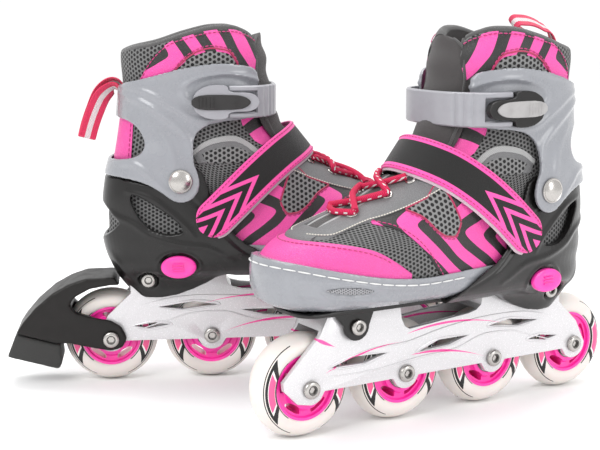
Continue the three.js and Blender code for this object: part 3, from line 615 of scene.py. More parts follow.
def show(name, side, shape, body, replaced=(), blend=None):
    """Puts a shape on one skate as a piece of that body. Given a blend, it is only fixed in place and joined to
    no body; the blend's contents are not read.
    """
    mesh = shape.mesh(f"{side}_{name}", MATRIX[side])
    piece = bpy.data.objects.new(f"{side}_{name}", mesh)
    bpy.context.scene.collection.objects.link(piece)
    if blend:
        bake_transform(piece)
    else:
        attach(piece, f"{side}_{body}")
    if replaced:
        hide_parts(*(f"{side}_{node}" for node in replaced))
    return piece


# Each opening in the frame's sides: x and z of its ends, and how far it rises and sinks between them
FRAME_OPENINGS = ((16.5, 8.6, 43.5, 9.2, 2, 2.4), (35.25, 22.6, 79.5, 23.6, 3.2, 2.6),
                  (96.75, 19.4, 140.25, 13.4, 3.6, 2.2), (165, 16.4, 210, 12.2, 3.4, 3))


def frame_ribs():
    """Raised lines that the frame's side plates are cast with, round the openings and along the rail."""
    shape = Shape()
    lines = [
        [(20, 24), (50, 30), (85, 30.5), (120, 27), (150, 21.5), (180, 20.5), (212, 13)],
        [(16, 4), (44, 13), (60, 17.5), (85, 18), (110, 11), (140, 9.5), (168, 6.5), (196, 6), (216, 7)],
    ]
    for x0, z0, x1, z1, rise, sink in FRAME_OPENINGS:
        long, tall = x1 - x0, z1 - z0
        lines.append([(x0 - 1.5, z0), (x0 + long * 0.4, z0 + tall * 0.4 - sink - 0.9), (x1 + 1.5, z1),
                      (x0 + long * 0.6, z0 + tall * 0.6 + rise + 0.9), (x0 - 1.5, z0)])
    for line in lines:
        for side in (1, -1):
            path = [(x, side * (FRAME_HALF - 0.25), WHEEL_RADIUS + z) for x, z in smooth_path(line, 60)]
            size = 0.85 * np.sin(np.linspace(0.12, math.pi - 0.12, 60)) ** 0.5
            tube(shape, "frame_white", path, size, sides=8)
    return shape


# ---- Forms ---------------------------------------------------------------------------------------
def smooth_value(places, values, slopes, at):
    """The value at a place on a smooth curve through values."""
    at = float(np.clip(at, places[0], places[-1]))
    i = int(np.clip(np.searchsorted(places, at) - 1, 0, len(places) - 2))
    width = places[i + 1] - places[i]
    t = (at - places[i]) / width
    return (
        (2 * t**3 - 3 * t**2 + 1) * values[i]
        + (t**3 - 2 * t**2 + t) * width * slopes[i]
        + (3 * t**2 - 2 * t**3) * values[i + 1]
        + (t**3 - t**2) * width * slopes[i + 1]
    )


def section_at(form, h):
    """The form's row at height h, on a smooth curve through its rows."""
    rows = np.asarray(form, float)
    return smooth_value(rows[:, 0], rows, np.gradient(rows, rows[:, 0], axis=0), h)


def form_point(form, h, angle, grow=0.0):
    """A point of the form's section: angle 0 is the toe, 90 the outer side and 180 the heel."""
    _, back, front, middle, half, back_power, front_power = section_at(form, h)
    c, s = math.cos(math.radians(angle)), math.sin(math.radians(angle))
    power = 2 / (back_power if c < 0 else front_power)
    reach = middle - back + grow if c < 0 else front - middle + grow
    x = middle + reach * math.copysign(abs(c) ** power, c)
    y = (half + grow) * math.copysign(abs(s) ** power, s)
    return np.array((x, y, WHEEL_TOP + h))


def form_normal(form, h, angle):
    across = form_point(form, h, angle + 0.5) - form_point(form, h, angle - 0.5)
    up = form_point(form, h + 0.4, angle) - form_point(form, h - 0.4, angle)
    normal = np.cross(across, up)
    return normal / np.linalg.norm(normal)


def edge_height(form, edge, angle):
    """Where an edge, a height or a function of x, meets the form at that angle."""
    if not callable(edge):
        return edge
    h = edge(form_point(form, 60, angle)[0])
    for _ in range(12):
        h = 0.5 * h + 0.5 * edge(form_point(form, h, angle)[0])
    return h


def curve(*points):
    """A smooth height for each x, through (x, h) points."""
    xs, hs = np.array(points, float).T
    slopes = np.gradient(hs, xs)
    return lambda x: smooth_value(xs, hs, slopes, x)


def surface_rows(form, angles, low, high, offsets, count):
    """Points between two edges of a form, each row standing off the form by its own offset."""
    spans = [(edge_height(form, low, a), edge_height(form, high, a)) for a in angles]
    rows = []
    for i in range(count):
        share = i / (count - 1)
        row = []
        for a, (h0, h1) in zip(angles, spans):
            h = h0 + (h1 - h0) * share
            row.append(form_point(form, h, a) + form_normal(form, h, a) * offsets[i])
        rows.append(row)
    return np.array(rows)


def patch(shape, look, form, angles, low, high, thick=0.8, base=0.0, count=24):
    """A panel laid on a form between two edges, with rounded edges down to the form."""
    full = base + thick
    offsets = [base, base + 0.75 * thick] + [full] * (count - 4) + [base + 0.75 * thick, base]
    rows = surface_rows(form, angles, low, high, offsets, count)
    shape.grid(rows, look)
    for column, flip in ((0, True), (-1, False)):
        edge = rows[:, column]
        normal = [form_normal(form, p[2] - WHEEL_TOP, angles[column]) for p in edge]
        shape.grid([edge, edge - np.array(normal) * full], look, flip=flip)


def tube(shape, look, path, radius, sides=8, closed=False):
    """A round cord through points. radius may change along it."""
    path = np.asarray(path, float)
    along = np.roll(path, -1, axis=0) - np.roll(path, 1, axis=0) if closed else np.gradient(path, axis=0)
    along /= np.linalg.norm(along, axis=1)[:, None]
    side = np.cross(along[0], (0.2, 0.35, 0.9))
    turns = np.arange(sides) * 2 * math.pi / sides
    rows = []
    for place, ahead, r in zip(path, along, np.broadcast_to(radius, len(path))):
        side = side - ahead * side.dot(ahead)
        side /= np.linalg.norm(side)
        up = np.cross(ahead, side)
        rows.append([place + r * (math.cos(t) * side + math.sin(t) * up) for t in turns])
    if closed:
        rows.append(rows[0])
    else:
        rows = [[path[0]] * sides] + rows + [[path[-1]] * sides]
    shape.grid(rows, look, wrap=True)


def resample(path, spacing):
    path = np.asarray(path, float)
    steps = distances(path)
    places = np.arange(0, steps[-1], spacing)
    return np.stack([np.interp(places, steps, path[:, i]) for i in range(3)], axis=1)


def stitches(shape, look, path, length=2.6, gap=1.4, radius=0.45):
    """A row of sewn stitches along a path."""
    dots = resample(path, 0.5)
    each = int(length / 0.5)
    step = each + max(1, int(gap / 0.5))
    for start in range(0, len(dots) - each, step):
        thread = dots[start : start + each + 1]
        thick = [radius * math.sin(math.pi * (0.12 + 0.76 * i / each)) ** 0.5 for i in range(each + 1)]
        tube(shape, look, thread, thick, sides=6)


def seam(form, angles, edge, shift=0.0, lift=0.9):
    """A path that follows an edge of a panel, moved up the form by shift."""
    path = []
    for a in angles:
        h = edge_height(form, edge, a) + shift
        path.append(form_point(form, h, a) + form_normal(form, h, a) * lift)
    return path


def lathe(shape, look, profile, centre, sides=48, along_y=True):
    """Turns a (radius, y) profile about the Y axis. Its texture runs round, and by radius."""
    rows = []
    for r, y in profile:
        turns = np.arange(sides + 1) * 2 * math.pi / sides
        rows.append([(centre[0] + r * math.cos(t), centre[1] + y, centre[2] + r * math.sin(t)) for t in turns])
    uv = np.array([[(j / sides * 2 * math.pi, r) for j in range(sides + 1)] for r, _ in profile])
    shape.grid(rows, look, uv=uv)


def rounded(points, passes=2):
    """Cuts an outline's corners until they are round."""
    points = np.asarray(points, float)
    for _ in range(passes):
        ahead = np.roll(points, -1, axis=0)
        points = np.stack([points * 0.75 + ahead * 0.25, points * 0.25 + ahead * 0.75], axis=1).reshape(-1, 2)
    return points


def object_of(points, faces):
    mesh = bpy.data.meshes.new("working")
    mesh.from_pydata([tuple(p) for p in points], [], faces)
    thing = bpy.data.objects.new("working", mesh)
    bpy.context.scene.collection.objects.link(thing)
    return thing


def prism(edge, y0=-OVER, y1=OVER):
    """A block from y0 to y1 whose side view has a closed edge through (x, z) points."""
    xs, zs = np.asarray(edge, float).T
    if np.sum(xs * np.roll(zs, -1) - zs * np.roll(xs, -1)) < 0:
        xs, zs = xs[::-1], zs[::-1]
    n = len(xs)
    points = [(x, y, z) for y in (y0, y1) for x, z in zip(xs, zs)]
    faces = [[(i + 1) % n, i, n + i, n + (i + 1) % n] for i in range(n)]
    return object_of(points, [list(range(n)), list(range(2 * n - 1, n - 1, -1)), *faces])


def outline(points, passes=2, y0=-OVER, y1=OVER):
    """A block from (x, h) points, with rounded corners."""
    return prism([(x, WHEEL_TOP + h) for x, h in rounded(points, passes)], y0, y1)


def oval(x, h, long, high):
    """An oval's (x, z) points, about a place at height h."""
    turns = np.radians(np.arange(0, 360, 10))
    return [(x + long * math.cos(t), WHEEL_TOP + h + high * math.sin(t)) for t in turns]


def form_block(form, grow=0.0, h0=None, h1=None, sides=96, step=2.5):
    h0 = form[0][0] if h0 is None else h0
    h1 = form[-1][0] if h1 is None else h1
    heights = np.linspace(h0, h1, max(2, int((h1 - h0) / step)))
    points = [form_point(form, h, 360 * i / sides, grow) for h in heights for i in range(sides)]
    faces = []
    for r in range(len(heights) - 1):
        for s in range(sides):
            a, b = r * sides + s, r * sides + (s + 1) % sides
            faces.append([a, b, b + sides, a + sides])
    top = (len(heights) - 1) * sides
    faces.append(list(range(sides - 1, -1, -1)))
    faces.append([top + s for s in range(sides)])
    return object_of(points, faces)


def combine(target, other, operation="DIFFERENCE"):
    modifier = target.modifiers.new("cut", "BOOLEAN")
    modifier.solver = "MANIFOLD"
    modifier.operation = operation
    modifier.object = other
    apply_modifiers(target)
    bpy.data.objects.remove(other)


def apply_modifiers(thing):
    bpy.context.view_layer.update()
    shown = thing.evaluated_get(bpy.context.evaluated_depsgraph_get())
    mesh = bpy.data.meshes.new_from_object(shown)
    thing.modifiers.clear()
    old = thing.data
    thing.data = mesh
    bpy.data.meshes.remove(old)


def moulded(thing, voxel=0.9, smooth=4):
    """Rounds a cut block's edges as a mould does, and gives its mesh."""
    remesh = thing.modifiers.new("remesh", "REMESH")
    remesh.mode = "VOXEL"
    remesh.voxel_size = voxel
    soften = thing.modifiers.new("soften", "SMOOTH")
    soften.iterations = smooth
    soften.factor = 0.5
    apply_modifiers(thing)
    return thing.data


def relief(shape, lift):
    """Moves the side faces of a moulded shell out by lift(x, h) millimetres."""
    points = np.array(shape.points)
    normals = np.zeros_like(points)
    for face in shape.faces:
        a, b, c = points[face[0]], points[face[1]], points[face[2]]
        normals[face] += np.cross(b - a, c - a)
    normals /= np.maximum(np.linalg.norm(normals, axis=1), 1e-9)[:, None]
    outward = np.clip(normals[:, 1] * np.sign(points[:, 1]) * 1.6, 0, 1)
    depth = lift(points[:, 0], points[:, 2] - WHEEL_TOP) * outward
    shape.points = list(map(tuple, points + normals * depth[:, None]))


def ridge(x, h, path, width, height):
    """A soft raised line along (x, h) points, which fades at its ends."""
    best = np.full(len(x), 1e9)
    fade = np.zeros(len(x))
    path = smooth_path(path, 30)
    for i, ((x0, h0), (x1, h1)) in enumerate(zip(path, path[1:])):
        length = (x1 - x0) ** 2 + (h1 - h0) ** 2
        share = np.clip(((x - x0) * (x1 - x0) + (h - h0) * (h1 - h0)) / length, 0, 1)
        away = np.hypot(x - x0 - share * (x1 - x0), h - h0 - share * (h1 - h0))
        closer = away < best
        best = np.where(closer, away, best)
        fade = np.where(closer, math.sin(math.pi * (0.04 + 0.92 * (i + 0.5) / 29)) ** 0.5, fade)
    return height * fade * np.exp(-((best / width) ** 2))


def lens(x, h, centre, half_long, half_high, turn, depth, rim=0.0):
    """A smooth oval hollow with a raised rim."""
    c, s = math.cos(math.radians(turn)), math.sin(math.radians(turn))
    along = ((x - centre[0]) * c + (h - centre[1]) * s) / half_long
    across = (-(x - centre[0]) * s + (h - centre[1]) * c) / half_high
    reach = np.sqrt(along**2 + across**2)
    hollow = -depth * np.clip((1 - reach) * 4, 0, 1)
    return hollow + rim * np.exp(-(((reach - 1.03) / 0.1) ** 2))


def half_width(form, x, h, grow=0.0):
    _, back, front, middle, half, back_power, front_power = section_at(form, h)
    reach, power = (middle - back, back_power) if x < middle else (front - middle, front_power)
    share = min(1.0, abs(x - middle) / (reach + grow))
    return (half + grow) * (1 - share**power) ** (1 / power)


def side_place(form, x, h, side, lift):
    """A point lift millimetres out from the form's outer (1) or inner (-1) side at x and h."""
    slope_x = half_width(form, x + 0.4, h) - half_width(form, x - 0.4, h)
    slope_h = half_width(form, x, h + 0.4) - half_width(form, x, h - 0.4)
    normal = np.array((-slope_x, 0.8, -slope_h))
    place = np.array((x, half_width(form, x, h), WHEEL_TOP + h)) + normal / np.linalg.norm(normal) * lift
    return place * (1, side, 1)


def side_patch(shape, look, form, xs, low, high, side, thick=0.8, base=0.0, count=30):
    """A panel on one side of a form, between two edges that are functions of x."""
    rows = []
    for i in range(count):
        row = []
        for j, x in enumerate(xs):
            rim = min(i, count - 1 - i, j, len(xs) - 1 - j, 2)
            lift = base + thick * (0, 0.75, 1)[rim]
            row.append(side_place(form, x, low(x) + (high(x) - low(x)) * i / (count - 1), side, lift))
        rows.append(row)
    shape.grid(rows, look, uv=np.array(rows)[:, :, (0, 2)], flip=side > 0)


def side_seam(form, xs, edge, side, shift, lift):
    return [side_place(form, x, edge(x) + shift, side, lift) for x in xs]


def angle_at(form, h, x):
    """The angle round a form at which its surface is at x."""
    low, high = 0.0, 180.0
    for _ in range(30):
        middle = (low + high) / 2
        low, high = (middle, high) if form_point(form, h, middle)[0] > x else (low, middle)
    return low


def mirrored(angles):
    return [-a for a in reversed(angles)]


def span(start, end, count):
    return list(np.linspace(start, end, count))


def track(form, stations, lift, count=40):
    """A path over a form through (h, angle) stations."""
    stations = np.array(stations, float)
    steps = np.linspace(0, len(stations) - 1, count)
    index = np.arange(len(stations))
    path = []
    for h, a in zip(np.interp(steps, index, stations[:, 0]), np.interp(steps, index, stations[:, 1])):
        path.append(form_point(form, h, a) + form_normal(form, h, a) * lift)
    return path


def ring(shape, look, centre, normal, radius, thick, sides=20):
    """A round metal ring lying across a normal."""
    normal = np.asarray(normal, float) / np.linalg.norm(normal)
    side = np.cross(normal, (0, 0, 1.0))
    side /= np.linalg.norm(side)
    up = np.cross(normal, side)
    turns = np.arange(sides) * 2 * math.pi / sides
    path = [np.asarray(centre) + radius * (math.cos(t) * side + math.sin(t) * up) for t in turns]
    tube(shape, look, path, thick, sides=8, closed=True)


# ---- Fabric boot ---------------------------------------------------------------------------------
PADDING = 6.5
FABRIC = 4
SOLE_H = 20
INSOLE_H = 25
TOECAP_EDGE = curve((150, 33), (164, 39), (174, 46), (188, 54.5), (210, 60.5), (232, 62), (252, 60))
SIDE_FRONT = curve((80, 28), (136, 28), (147, 42.7), (154.4, 52.8), (162.3, 60.6), (171.4, 66.8), (187, 71.6))
STAY_EDGE = curve((100, 97), (118, 96.8), (127.7, 93.5), (162.3, 79.4), (186.1, 72.3), (203.2, 69.3), (214, 64),
                  (230, 62.5))
WINDOW_LOW = curve((124.4, 69), (127.2, 62.8), (134.7, 60.4), (144.1, 65.3), (151.3, 73), (160.9, 78.3))
WINDOW_HIGH = curve((124.4, 69.2), (128, 80), (132, 89.5), (146, 84.5), (160.9, 78.6))
EYELETS = ((74.5, 16), (85.5, 19), (95, 22))
COLLAR_TOP = curve((8, 176), (15, 179), (36.6, 184), (59, 191), (81.7, 195.5), (96.7, 194),
                   (106, 188), (112, 178))
COLLAR_OPEN = 24


def lower_boot():
    boot = Shape()
    around = span(0, 360, 121)
    heights = np.linspace(SOLE_H, LEG_CUT, 60)
    boot.grid([[form_point(BOOT_FORM, h, a) for a in around] for h in heights], "grey_mesh")
    inner = np.linspace(LEG_CUT, INSOLE_H, 40)
    boot.grid([[form_point(BOOT_FORM, h, a, -FABRIC) for a in around] for h in inner], "plush")
    for h, grow, flip in ((SOLE_H, 0, True), (INSOLE_H, -FABRIC, False)):
        edge = [form_point(BOOT_FORM, h, a, grow) for a in around]
        spine = [np.array((np.clip(p[0], 25, 225), 0, p[2])) for p in edge]
        boot.grid([edge, spine], "plush", flip=flip)
    patch(boot, "pink_leather", BOOT_FORM, span(-88, 88, 97), 31, TOECAP_EDGE, thick=1.1)
    stitches(boot, "pink_thread", seam(BOOT_FORM, span(-80, 80, 90), TOECAP_EDGE, -2.0, 1.15))
    panel, opening = span(84, 185, 90), span(124.5, 160.8, 50)
    front = [x for x in panel if x > 137]
    for side in (1, -1):
        side_patch(boot, "side_print", BOOT_FORM, panel, SIDE_FRONT, print_top, side, thick=0.9, count=50)
        stitches(boot, "pink_thread",
                 side_seam(BOOT_FORM, front, lambda x: SIDE_FRONT(x + 1.8), side, 1.2, 0.95))
        side_patch(boot, "silver_mesh", BOOT_FORM, opening, WINDOW_LOW, WINDOW_HIGH, side, thick=0.5, base=0.8)
        for edge, shift in ((WINDOW_LOW, -1.5), (WINDOW_HIGH, 1.5)):
            tube(boot, "red_piping", side_seam(BOOT_FORM, opening, edge, side, 0, 1.1), 0.7, sides=6)
            stitches(boot, "pink_thread", side_seam(BOOT_FORM, opening, edge, side, shift, 0.95))
    throat(boot)
    return boot


def print_top(x):
    """The upper edge of the side print: the eyestay, and lower where the instep strap covers it."""
    return min(STAY_EDGE(x), 70 + 0.93 * (x - 73.6))


def throat(boot):
    """The grey eyestay round the tongue, its stitching and its eyelets."""
    stay = span(10, angle_at(BOOT_FORM, 96.8, 118), 44)
    for turn in (list, mirrored):
        patch(boot, "grey_leather", BOOT_FORM, turn(stay), STAY_EDGE, LEG_CUT, thick=1.5, count=24)
        stitches(boot, "cream_thread", seam(BOOT_FORM, turn(stay), STAY_EDGE, 1.6, 1.55), length=1.6, gap=0.8)
        patch(boot, "silver_tape", BOOT_FORM, turn(span(6, 11, 8)), 68, LEG_CUT, thick=1.2, count=16)
    patch(boot, "grey_leather", BOOT_FORM, span(-20, 20, 40), TOECAP_EDGE, 68, thick=1.4, count=12)
    patch(boot, "plush", BOOT_FORM, span(-6, 6, 12), 67.5, LEG_CUT, thick=0.5, count=16)
    for side in (1, -1):
        for h, angle in EYELETS:
            normal = form_normal(BOOT_FORM, h, angle * side)
            ring(boot, "steel", form_point(BOOT_FORM, h, angle * side) + normal * 1.7, normal, 3.0, 0.9)


def collar():
    """The padded top of the boot: outer fabric, rolled edge and plush lining, open at the front."""
    shape = Shape()
    angles = span(COLLAR_OPEN, 360 - COLLAR_OPEN, 140)
    tops = [edge_height(BOOT_FORM, COLLAR_TOP, a) for a in angles]
    roll = PADDING / 2

    def row(share, grow=0.0, rise=0.0):
        points = []
        for a, top in zip(angles, tops):
            h = LEG_CUT + (top - roll - LEG_CUT) * share
            swell = collar_swell(h) * (1 + grow / PADDING)
            points.append(form_point(BOOT_FORM, h, a, grow + swell) + (0, 0, rise))
        return points

    outer = [row(share) for share in np.linspace(0, 1, 60)]
    turns = np.linspace(0, math.pi, 9)
    rim = [row(1, -roll * (1 - math.cos(t)), roll * math.sin(t)) for t in turns]
    inner = [row(share, -PADDING) for share in np.linspace(1, 0, 50)]
    shape.grid(outer, "grey_mesh")
    shape.grid(rim, "binding")
    shape.grid(inner, "plush")
    for column, flip in ((0, True), (-1, False)):
        edge = [[p[column] for p in outer], [p[column] for p in reversed(inner)][-60:]]
        count = min(len(edge[0]), len(edge[1]))
        pick = [np.array(side)[np.linspace(0, len(side) - 1, count).astype(int)] for side in edge]
        shape.grid(pick, "binding", flip=flip)
        tube(shape, "binding", (pick[0] + pick[1]) / 2, roll, sides=12)
        cap = [points[column] for points in rim]
        shape.grid([cap, [np.mean(cap, axis=0)] * len(cap)], "binding", flip=flip)
    side = span(COLLAR_OPEN + 1, 150, 80)
    tape = span(44, 96, 40)
    for turn in (list, mirrored):
        panel, ribbon_run = turn(side), turn(tape)
        swelling_patch(shape, "collar_print", panel, PRINT_LOW, PRINT_HIGH, 0.8)
        stitches(shape, "pink_thread", collar_seam(panel, PRINT_HIGH, -1.8, 1.4))
        opening = turn(span(52, 108, 40))
        swelling_patch(shape, "silver_mesh", opening, 140, OVAL_TOP, 1.2)
        tube(shape, "red_piping", collar_seam(opening, OVAL_TOP, 0, 1.6), 0.6, sides=6)
        stitches(shape, "pink_thread", collar_seam(opening, OVAL_TOP, 1.7, 1.5))
        swelling_patch(shape, "grey_leather", ribbon_run, LEG_CUT, TAPE_LINE, 0.7)
        swelling_patch(shape, "silver_tape", ribbon_run, lambda x: TAPE_LINE(x) - 2.2,
                       lambda x: TAPE_LINE(x) + 2.2, 1.3)
        swelling_patch(shape, "silver_mesh", turn(span(58, 92, 30)), LEG_CUT, lambda x: TAPE_LINE(x) - 5, 0.9)
    back = angle_at(BOOT_FORM, 110, 19)
    swelling_patch(shape, "pink_leather", span(back, 360 - back, 60), LEG_CUT, 134, 0.9)
    for angle in (back + 3, 357 - back):
        stitches(shape, "pink_thread", track(BOOT_FORM, [(LEG_CUT + 1, angle), (133, angle)], 1.0))
    return shape


PRINT_LOW = curve((8, 150), (84, 150), (94, 140), (104, 116), (114, 108))
PRINT_HIGH = curve((20, 151), (25.3, 157), (30.2, 166), (38, 176), (45.7, 182.5), (59, 187.5), (81.7, 192),
                   (96.7, 190.5), (106, 184.5), (112, 175))
OVAL_TOP = curve((44, 150), (50, 163), (56, 170), (67.7, 177.3), (80, 178.5), (91.2, 172.5), (97, 160),
                 (100, 150))
TAPE_LINE = curve((40, 98), (54, 101), (60.7, 104), (69, 110), (81, 114), (95, 113.5), (104.7, 108), (112, 101))


def collar_swell(h):
    """How far the padding swells out round the ankle's opening."""
    return 1.6 * math.exp(-(((h - 178) / 11) ** 2))


def swelling_patch(shape, look, angles, low, high, thick):
    """A panel on the collar, which follows its padding."""
    rows = surface_rows(BOOT_FORM, angles, low, high, [0] * 26, 26)
    lifted = []
    for i, row in enumerate(rows):
        near_edge = min(i, len(rows) - 1 - i, 2) / 2
        line = []
        for p, a in zip(row, angles):
            h = p[2] - WHEEL_TOP
            line.append(p + form_normal(BOOT_FORM, h, a) * (collar_swell(h) + thick * near_edge))
        lifted.append(line)
    shape.grid(lifted, look, uv=np.array(lifted)[:, :, (0, 2)])


def collar_seam(angles, edge, shift, lift):
    path = []
    for a in angles:
        h = edge_height(BOOT_FORM, edge, a) + shift
        out = lift + collar_swell(h) - 0.4
        path.append(form_point(BOOT_FORM, h, a) + form_normal(BOOT_FORM, h, a) * out)
    return path


TONGUE_LINE = ((150, 97), (139, 107), (128, 118), (120.5, 131), (117, 146), (114.5, 162), (112.5, 176),
               (109, 188))
TONGUE_HALF = 23
TONGUE_THICK = 8


def smooth_path(points, count):
    """A Catmull-Rom curve through points."""
    points = np.asarray(points, float)
    padded = np.vstack([2 * points[0] - points[1], points, 2 * points[-1] - points[-2]])
    path = []
    for step in np.linspace(0, len(points) - 1, count):
        i = min(int(step), len(points) - 2)
        t = step - i
        a, b, c, d = padded[i : i + 4]
        bend = (2 * a - 5 * b + 4 * c - d) * t**2 + (3 * b - a - 3 * c + d) * t**3
        path.append(0.5 * (2 * b + (c - a) * t + bend))
    return np.array(path)


def tongue():
    """The padded tongue: a curved tapering pad with sewn channels across it and bound edges."""
    shape = Shape()
    line = smooth_path(TONGUE_LINE, 70)
    along = directions(line)
    rows = []
    for i, ((x, h), (ax, ah)) in enumerate(zip(line, along)):
        share = i / (len(line) - 1)
        width = TONGUE_HALF * (0.82 + 0.18 * math.sin(math.pi * share))
        if share > 0.88:
            width *= math.sqrt(max(0.02, 1 - ((share - 0.88) / 0.125) ** 2))
        puff = 1 + 0.2 * math.cos(2 * math.pi * share * 5)
        row = []
        for k in range(48):
            t = 2 * math.pi * k / 48
            y = width * math.copysign(abs(math.cos(t)) ** 0.8, math.cos(t))
            out = TONGUE_THICK / 2 * puff * math.copysign(abs(math.sin(t)) ** 0.8, math.sin(t))
            back = 9 * (y / TONGUE_HALF) ** 2
            row.append((x + ah * (out - back), y, WHEEL_TOP + h - ax * (out - back)))
        rows.append(row)
    shape.grid(rows, "plush", wrap=True)
    shape.grid([rows[-1], [np.mean(rows[-1], axis=0)] * 48], "plush", wrap=True)
    for k in (3, 21):
        edge = [np.array(row[k]) for row in rows]
        tube(shape, "binding", edge[4:-1], 1.1, sides=8)
    return shape


LACE_RADIUS = 2.3
LACE_ANGLE = 19.5


def lace():
    """Two strands that cross from eyelet to eyelet, and a bar between the lowest two."""
    shape = Shape()
    heights = [h for h, _ in EYELETS]
    for side in (1, -1):
        places = [(h, LACE_ANGLE * side * (-1) ** i) for i, h in enumerate(heights)]
        stations = []
        for (h0, a0), (h1, a1) in zip(places, places[1:]):
            rise = h1 - h0
            stations += [(h0, a0), (h0 + 0.25 * rise, 0.5 * a0), (h0 + 0.6 * rise, 0.3 * a1), (h1, a1)]
        path = np.array(track(BOOT_FORM, stations, 4.6, 60))
        path[:, 2] += 1.4 * side * np.sin(np.linspace(0, 2 * math.pi, len(path)))
        tube(shape, "lace", path, LACE_RADIUS, sides=10)
    low = heights[0]
    bar = track(BOOT_FORM, [(low, -LACE_ANGLE), (low - 0.8, 0), (low, LACE_ANGLE)], 3.4, 30)
    tube(shape, "lace", bar, LACE_RADIUS, sides=10)
    return shape


LOOP_HALF = 6.5
HANGING_LOOP = ((14, 141), (10, 150), (4.5, 151.5), (-3, 144.5), (-8.3, 133), (-12, 123), (-14.4, 114.5))
STANDING_LOOP = ((14, 140), (12, 154), (21.4, 184.2), (29.8, 190.4), (39.2, 194.7), (47.8, 196.6))


def pull_loop(points, turn, gap=2.2):
    """A folded webbing loop behind the collar, twisting by turn degrees on its way to the fold."""
    shape = Shape()
    line = smooth_path(points, 40)
    share = np.clip(np.linspace(0, 1.5, len(line)), 0, 1)
    twist = np.radians(turn) * share**2 * (3 - 2 * share)
    flat = np.zeros(len(line))
    middle = np.stack([line[:, 0], flat, WHEEL_TOP + line[:, 1]], axis=1)
    ahead = directions(middle)
    across = np.stack([-ahead[:, 2] * np.sin(twist), np.cos(twist), ahead[:, 0] * np.sin(twist)], axis=1)
    face = np.cross(across, ahead)
    spread = gap * (0.5 + 0.5 * np.sin(np.linspace(0, math.pi, len(line))))[:, None]
    turns = np.radians((30, 60, 90, 120, 150))
    fold = [middle[-1] + gap / 2 * (face[-1] * math.cos(t) + ahead[-1] * math.sin(t)) for t in turns]
    path = [*(middle + face * spread), *fold, *(middle - face * spread)[::-1]]
    sides = [*across, *[across[-1]] * len(fold), *across[::-1]]
    ribbon(shape, "webbing", path, np.array(sides), LOOP_HALF, 1.0)
    return shape


# ---- Straps and buckle ---------------------------------------------------------------------------
INSTEP_WIDTH = 27
INSTEP_STOPS = ((66, 47.4, 50), (72, 47.6, 55), (82, 47.6, 64.5), (95, 46, 77), (110, 41, 90.5),
                (125, 32, 102), (137, 19, 109), (143, 0, 112))
STRAP_ACROSS = np.array((-0.62, 0, 0.78))


def ribbon(shape, look, path, across, half, thick, lift=0.0, columns=12):
    """A flat band with rounded edges along a path. across, half and thick may change along it."""
    path = np.asarray(path, float)
    count = len(path)
    stations = zip(path, directions(path), np.broadcast_to(across, (count, 3)), np.broadcast_to(half, count),
                   np.broadcast_to(thick, count), distances(path))
    rows, uvs = [], []
    for place, ahead, wide, w, t, length in stations:
        wide = wide - ahead * wide.dot(ahead)
        wide /= np.linalg.norm(wide)
        out = np.cross(wide, ahead)
        top = [(c * (w - 0.4 * t), t) for c in np.linspace(-1, 1, columns)]
        section = [(-w, 0.35 * t), (-w + 0.1 * t, 0.75 * t), *top, (w - 0.1 * t, 0.75 * t), (w, 0.35 * t),
                   (w - 0.3, 0), (-w + 0.3, 0), (-w, 0.35 * t)]
        rows.append([place + wide * y + out * (lift + z) for y, z in section])
        uvs.append([(length, y) for y, _ in section])
    shape.grid(rows, look, uv=np.array(uvs), flip=True)
    for end, flip in ((0, False), (-1, True)):
        middle = np.mean(rows[end][:-1], axis=0)
        shape.grid([rows[end], [middle] * len(rows[end])], look, flip=flip)


def instep_strap():
    """The wide strap over the instep: a hook-and-loop backing, a printed face and two rows of stitches."""
    shape = Shape()
    path = smooth_path([*INSTEP_STOPS, *[(x, -y, h) for x, y, h in reversed(INSTEP_STOPS[:-1])]], 120)
    path[:, 2] += WHEEL_TOP
    tip = np.clip(distances(path) / 14, 0, 1)
    widths = np.maximum(0.6, INSTEP_WIDTH / 2 * np.sqrt(1 - (1 - tip) ** 2))
    backing = slice(7, -4)
    ribbon(shape, "hook_tape", path[backing] - STRAP_ACROSS * 2.4, STRAP_ACROSS, widths[backing] - 0.6, 1.0)
    ribbon(shape, "instep_print", path, STRAP_ACROSS, widths, 1.6, lift=1.0, columns=25)
    along = directions(path)
    wide = STRAP_ACROSS - along * (along @ STRAP_ACROSS)[:, None]
    wide /= np.linalg.norm(wide, axis=1)[:, None]
    for edge in (-1, 1):
        line = path + wide * (edge * (widths - 1.7))[:, None] + np.cross(wide, along) * 2.75
        stitches(shape, "pink_thread", line[4:], length=2.2, gap=1.0, radius=0.4)
    return shape


STRAP = {"h": 141.5, "half_width": 11.5, "thick": 3, "side": 42.6, "front": 121.5, "root": 106, "tip": 88,
         "nose": 6.75, "inner_end": 70, "bend": 92}


def power_path(start, count=90):
    """The strap's line along the outer side from x = start, round the front and back along the inner side."""
    side, front, bend, z = STRAP["side"], STRAP["front"], STRAP["bend"], WHEEL_TOP + STRAP["h"]
    path = [(x, side, z) for x in np.linspace(start, bend, 12)[:-1]]
    for turn in np.radians(np.linspace(90, -90, count)):
        c, s = math.cos(turn), math.sin(turn)
        path.append((bend + (front - bend) * abs(c) ** 0.8, side * math.copysign(abs(s) ** 0.8, s), z))
    path += [(x, -side, z) for x in np.linspace(bend, STRAP["inner_end"], 14)[1:]]
    return resample(path, 1.2)


